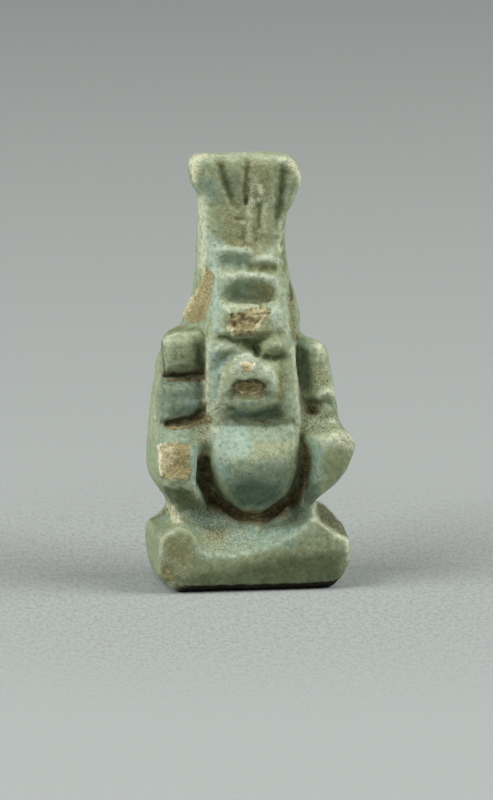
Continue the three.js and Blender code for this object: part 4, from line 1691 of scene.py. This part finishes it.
@dataclass
class Amulet:
    """The whole amulet: a fine copy of the solid, worked, masked and dressed.

    Attributes:
        node: The solid that it stands for.
        body: The body that it rides on.
        slot: The record's material slot, which is not used.
        coarse: Size of the first mesh's cells, in millimetres.
        cell: Size of the finished mesh's cells, which are halved on the photographed side.
        fits: How many times both outlines are brought to the photographed ones.
        smoothing: Rounds that take the steps out of the first mesh and out of the second one.
        wear: Rounds of softening that stand for the moulding and the wear.
        mellow: Rounds of softening before and after the forms are set on the finished mesh.
        line_fray: Size in millimetres and reach in picture pixels of what frays the lines' edges.
        chip_fray: The same for the chips' edges.
        blur: Rounds that soften the painted lines.
        waves: Size, seed, layers and height of the broad unevenness, in millimetres.
        skin: Size, seed, layers and height of the fine unevenness, in millimetres.
        gritty: What full grit adds to the height of the fine unevenness.
        foot_rise: Height of the plinth's rim above the table, in millimetres.
        foot_band: Height above the underside within which the middle goes back down, in millimetres.
        foot_rim: Shares of the way from the middle between which the rim rises off the table.
        plinth: Height below which every point belongs to the plinth, in millimetres.
        shade_band: Heights between which the painted shade under the foot fades, in millimetres.
        shade_rim: Shares of the plinth's half width between which that painted shade fades.
        view: The photograph's viewpoint.
        carving: The lines and patches to work in.
    """

    node: str = NODE
    body: str = "root"
    slot: str = "faience"
    coarse: float = 0.12
    cell: float = 0.165
    fits: int = 5
    smoothing: tuple[int, int] = (8, 14)
    wear: int = 4
    mellow: tuple[int, int] = (2, 1)
    line_fray: Point = (0.5, 2.2)
    chip_fray: Point = (0.3, 3.0)
    blur: int = 3
    waves: tuple[float, float, int, float] = (1.6, 5.0, 3, 0.05)
    skin: tuple[float, float, int, float] = (0.32, 9.0, 2, 0.01)
    gritty: float = 0.03
    foot_rise: float = 0.42
    foot_band: float = 0.6
    foot_rim: Point = (0.97, 0.8)
    plinth: float = 2.0
    shade_band: Point = (1.2, 0.8)
    shade_rim: Point = (0.9, 0.72)
    view: PhotoView = field(default_factory=PhotoView)
    carving: Carving = field(default_factory=Carving)

    def start_mesh(self) -> bpy.types.Mesh:
        """Copy the solid's mesh, merge it and set it on its slightly rounded foot.

        Returns:
            The copy in millimetres.
        """
        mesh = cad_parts[self.node].data.copy()
        mesh.materials.clear()
        shape = bmesh.new()
        shape.from_mesh(mesh)
        fit = 1.0 - self.foot_rise / (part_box(self.node)[1][2] / MM)
        bmesh.ops.scale(shape, vec=Vector((fit / MM,) * 3), verts=shape.verts)
        bmesh.ops.translate(shape, vec=Vector((0.0, 0.0, self.foot_rise)), verts=shape.verts)
        bmesh.ops.remove_doubles(shape, verts=shape.verts, dist=0.0005)
        shape.to_mesh(mesh)
        shape.free()
        return mesh

    def remeshed(self, mesh: bpy.types.Mesh, cell: float) -> bpy.types.Mesh:
        """Turn a closed mesh into an even one of small cells.

        Args:
            mesh: The mesh, which is used up.
            cell: Size of the cells in millimetres.

        Returns:
            The even mesh.
        """
        carrier = bpy.data.objects.new("remesh carrier", mesh)
        bpy.context.scene.collection.objects.link(carrier)
        cells = carrier.modifiers.new("cells", "REMESH")
        cells.mode = "VOXEL"
        cells.voxel_size = cell
        cells.use_smooth_shade = True
        graph = bpy.context.evaluated_depsgraph_get()
        even = bpy.data.meshes.new_from_object(carrier.evaluated_get(graph))
        bpy.data.objects.remove(carrier)
        bpy.data.meshes.remove(mesh)
        return even

    def refine(self, mesh: bpy.types.Mesh, seen: np.ndarray) -> None:
        """Halve the cells of the photographed side.

        Args:
            mesh: The mesh, which is changed.
            seen: How well the camera sees each point.
        """
        shape = bmesh.new()
        shape.from_mesh(mesh)
        shape.edges.ensure_lookup_table()
        edges = [e for e in shape.edges if seen[e.verts[0].index] > 0.5 and seen[e.verts[1].index] > 0.5]
        bmesh.ops.subdivide_edges(shape, edges=edges, cuts=1, use_grid_fill=True)
        shape.to_mesh(mesh)
        shape.free()

    def set_foot(self, clay: Clay) -> None:
        """Round the underside, so that the figure stands on its middle and its rim is clear of the table.

        Args:
            clay: The surface to work.
        """
        low, high = clay.points.min(axis=0), clay.points.max(axis=0)
        middle = (low + high) / 2
        outward = np.abs((clay.points - middle)[:, :2] / ((high - low)[:2] / 2)).max(axis=1)
        under = smoothstep(self.foot_band, 0.0, clay.points[:, 2] - low[2])
        under = under * smoothstep(0.2, 0.9, -clay.normals[:, 2])
        clay.points[:, 2] -= self.foot_rise * under * smoothstep(*self.foot_rim, outward)
        clay.refresh()

    def darken_foot(self, clay: Clay) -> None:
        """Paint shade on the underside: earth and dark together make a near-black painted shadow under the
        rim.

        Args:
            clay: The surface to paint.
        """
        plinth = clay.points[:, 2] < self.plinth
        across = np.abs(clay.points[:, 0]) / np.abs(clay.points[plinth, 0]).max()
        under = smoothstep(0.35, 0.8, -clay.normals[:, 2]) * smoothstep(*self.shade_band, clay.points[:, 2])
        under *= smoothstep(*self.shade_rim, across)
        # Painted shadow: the earth and dark masks turn the underside near-black.
        clay.paint(((Mask.EARTH_AND_SHADE, 1.0), (Mask.DARK, 1.0)), under)

    def shape(self, clay: Clay) -> None:
        """Bring the first mesh to the photographed outline and depths.

        Args:
            clay: The surface to work.
        """
        self.set_foot(clay)
        for stroke, across, down in self.carving.pulls:
            clay.pull(stroke, across, down)
        for _ in range(self.fits):
            clay.fit_outline(-1, self.carving.left_outline)
            clay.fit_outline(1, self.carving.right_outline)
        clay.find_seen()
        clay.form(self.carving.forms)
        clay.smooth_steps(self.smoothing[0])

    def carve(self, clay: Clay) -> None:
        """Work the lines, the chips, the grain and the masks into the finished mesh.

        Args:
            clay: The surface to work.
        """
        clay.soften(self.mellow[0])
        clay.find_seen(3)
        clay.form(self.carving.forms)
        clay.soften(self.mellow[1])
        clay.set_wobble(*self.line_fray)
        clay.lay(self.carving.tints)
        clay.work(self.carving.strokes)
        clay.blur_masks(self.blur)
        clay.set_wobble(*self.chip_fray)
        clay.lay(self.carving.chips)
        clay.feel_relief()
        *broad, wave = self.waves
        *small, height = self.skin
        height = height + self.gritty * clay.masks[Mask.GRIT]
        clay.move(clay.lumps(*broad) * wave + clay.lumps(*small) * height)
        # Painted shadow under the foot's rim.
        self.darken_foot(clay)
        self.keep_inside(clay)
        clay.store()

    def build(self, material: bpy.types.Material) -> bpy.types.Object:
        """Make the finished piece.

        Args:
            material: The glaze.

        Returns:
            The piece.
        """
        mesh = self.remeshed(self.start_mesh(), self.coarse)
        self.shape(Clay(mesh, self.view))
        mesh = self.remeshed(mesh, self.cell)
        middle = Clay(mesh, self.view)
        middle.soften(self.wear)
        middle.smooth_steps(self.smoothing[1])
        middle.find_seen()
        self.refine(mesh, middle.seen)
        self.carve(Clay(mesh, self.view))
        mesh.name = "amulet_skin"
        mesh.transform(Matrix.Scale(MM, 4))
        mesh.materials.append(material)
        for polygon in mesh.polygons:
            polygon.use_smooth = True
        piece = bpy.data.objects.new("amulet_skin", mesh)
        bpy.context.scene.collection.objects.link(piece)
        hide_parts(self.node)
        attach(piece, self.body)
        triangles = sum(len(polygon.vertices) - 2 for polygon in mesh.polygons)
        LOG.info("%s: %d points, %d triangles", piece.name, len(mesh.vertices), triangles)
        return piece

    def keep_inside(self, clay: Clay) -> None:
        """Hold the surface inside the solid's box, so that no size changes.

        Args:
            clay: The worked surface.
        """
        low, high = (np.array(corner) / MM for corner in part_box(self.node))
        clay.points = np.clip(clay.points, low, high)
        clay.refresh()


@dataclass
class Studio:
    """The pale table, the soft lights and the camera.

    Attributes:
        view: The photograph's viewpoint.
        reach: Half the width of the table, in metres.
        lit: The point that the lamps look at, in metres.
        paper: Colour of the table's paper, as linear values.
        close: Distances from the figure, in metres, at which the paper's marks are weakest and strongest.
        shadow: Share of that colour that its darker marks keep.
        stretch: Factor on places in depth, which draws the paper's grain out away from the viewer.
        tooth: Scale of the paper's grain, in lumps to the metre.
        clouds: Scale of its uneven patches.
        fibres: Scale of the thin fibres.
        gaps: Scale of the gaps between the fibres.
    """

    view: PhotoView = field(default_factory=PhotoView)
    reach: float = 1.2
    lit: Point3 = (0.0, 0.0, 0.012)
    paper: Colour = (0.415, 0.442, 0.425)
    close: Point = (0.04, 0.012)
    shadow: float = 0.6
    stretch: float = 0.35
    tooth: float = 6500.0
    clouds: float = 3600.0
    fibres: float = 330.0
    gaps: float = 150.0

    def table(self, grain: Tree) -> bpy.types.Object:
        """Lay the pale paper that the figure stands on.

        Args:
            grain: The group that makes fine grain.

        Returns:
            The table's object.
        """
        sheet = bmesh.new()
        bmesh.ops.create_grid(sheet, x_segments=8, y_segments=8, size=self.reach)
        mesh = bpy.data.meshes.new("paper")
        sheet.to_mesh(mesh)
        sheet.free()
        material = bpy.data.materials.new("pale paper")
        material.use_nodes = True
        nodes = Nodes(material.node_tree)
        shader = material.node_tree.nodes["Principled BSDF"]
        place = nodes.place()
        drawn_out = nodes.add("ShaderNodeMapping")
        drawn_out.inputs["Rotation"].default_value = (0.0, 0.0, math.radians(-self.view.azimuth))
        drawn_out.inputs["Scale"].default_value = (1.0, self.stretch, 1.0)
        nodes.join(place, drawn_out.inputs["Vector"])
        stretched = drawn_out.outputs["Vector"]
        away = nodes.add("ShaderNodeVectorMath", operation="LENGTH")
        nodes.join(place, away.inputs[0])
        close = nodes.ramp(away.outputs["Value"], *self.close)
        tooth = nodes.group(grain, Place=stretched, Scale=self.tooth)
        cloud = nodes.noise(stretched, self.clouds)
        darker = tuple(value * self.shadow for value in self.paper)
        depth = nodes.calc("MULTIPLY_ADD", close, 0.5, 0.07)
        uneven = nodes.plus(tooth, nodes.times(cloud, 0.5))
        colour = nodes.mix(nodes.times(nodes.ramp(uneven, 0.84, 0.6), depth), self.paper, darker)
        fibre = nodes.calc("ABSOLUTE", nodes.calc("SUBTRACT", nodes.noise(stretched, self.fibres, 2.0), 0.5))
        few = nodes.ramp(nodes.noise(stretched, self.gaps, 1.0), 0.56, 0.62)
        thread = nodes.times(nodes.ramp(fibre, 0.004, 0.0015), nodes.times(few, close))
        colour = nodes.mix(nodes.times(thread, 0.5), colour, darker)
        nodes.join(colour, shader.inputs["Base Color"])
        shader.inputs["Roughness"].default_value = 0.95
        shader.inputs["Specular IOR Level"].default_value = 0.1
        mesh.materials.append(material)
        table = bpy.data.objects.new("paper", mesh)
        bpy.context.scene.collection.objects.link(table)
        return table

    def lamp(self, name: str, place: Point3, size: Point, power: float) -> bpy.types.Object:
        """Hang a soft rectangular lamp that looks at the figure.

        Args:
            name: The lamp's name.
            place: Where it hangs, in metres.
            size: Its width and height in metres.
            power: Its power in watts.

        Returns:
            The lamp's object.
        """
        light = bpy.data.lights.new(name, "AREA")
        light.shape = "RECTANGLE"
        light.size, light.size_y = size
        light.energy = power
        lamp = bpy.data.objects.new(name, light)
        lamp.location = place
        lamp.rotation_euler = (Vector(place) - Vector(self.lit)).to_track_quat("Z", "Y").to_euler()
        bpy.context.scene.collection.objects.link(lamp)
        return lamp

    def light(self) -> None:
        """Light the figure from both sides and from above, the left side strongest."""
        self.lamp("left_softbox", place=(-0.375, -0.13, 0.31), size=(0.4, 0.4), power=2.55)
        self.lamp("right_softbox", place=(0.38, -0.14, 0.3), size=(0.38, 0.34), power=2.25)
        self.lamp("overhead", place=(0.0, 0.02, 0.6), size=(0.5, 0.5), power=0.62)
        world = bpy.data.worlds.new("room")
        world.use_nodes = True
        background = world.node_tree.nodes["Background"]
        background.inputs["Color"].default_value = (0.9, 0.95, 1.0, 1.0)
        background.inputs["Strength"].default_value = 0.04
        bpy.context.scene.world = world

    def camera(self) -> bpy.types.Object:
        """Set the camera at the photograph's viewpoint.

        Returns:
            The camera's object.
        """
        lens = bpy.data.cameras.new("camera")
        lens.sensor_fit = "VERTICAL"
        lens.sensor_height = 36.0
        lens.lens = lens.sensor_height * self.view.distance * self.view.scale / self.view.height
        lens.clip_start = 0.01
        lens.clip_end = 10.0
        camera = bpy.data.objects.new("camera", lens)
        camera.location = Vector(self.view.eye()) * MM
        camera.rotation_euler = Vector(self.view.axes()[2]).to_track_quat("Z", "Y").to_euler()
        bpy.context.scene.collection.objects.link(camera)
        bpy.context.scene.camera = camera
        return camera


def main() -> None:
    """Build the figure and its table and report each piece."""
    logging.basicConfig(level=logging.INFO, format="%(name)s: %(message)s")
    bpy.context.scene.view_settings.view_transform = "Standard"
    specks = specks_group()
    grain = grain_group()
    glaze = FaienceMaterial(FaienceFinish(), specks, grain).build()
    Amulet().build(glaze)
    studio = Studio()
    studio.table(grain)
    studio.light()
    studio.camera()


if __name__ == "__main__":
    main()
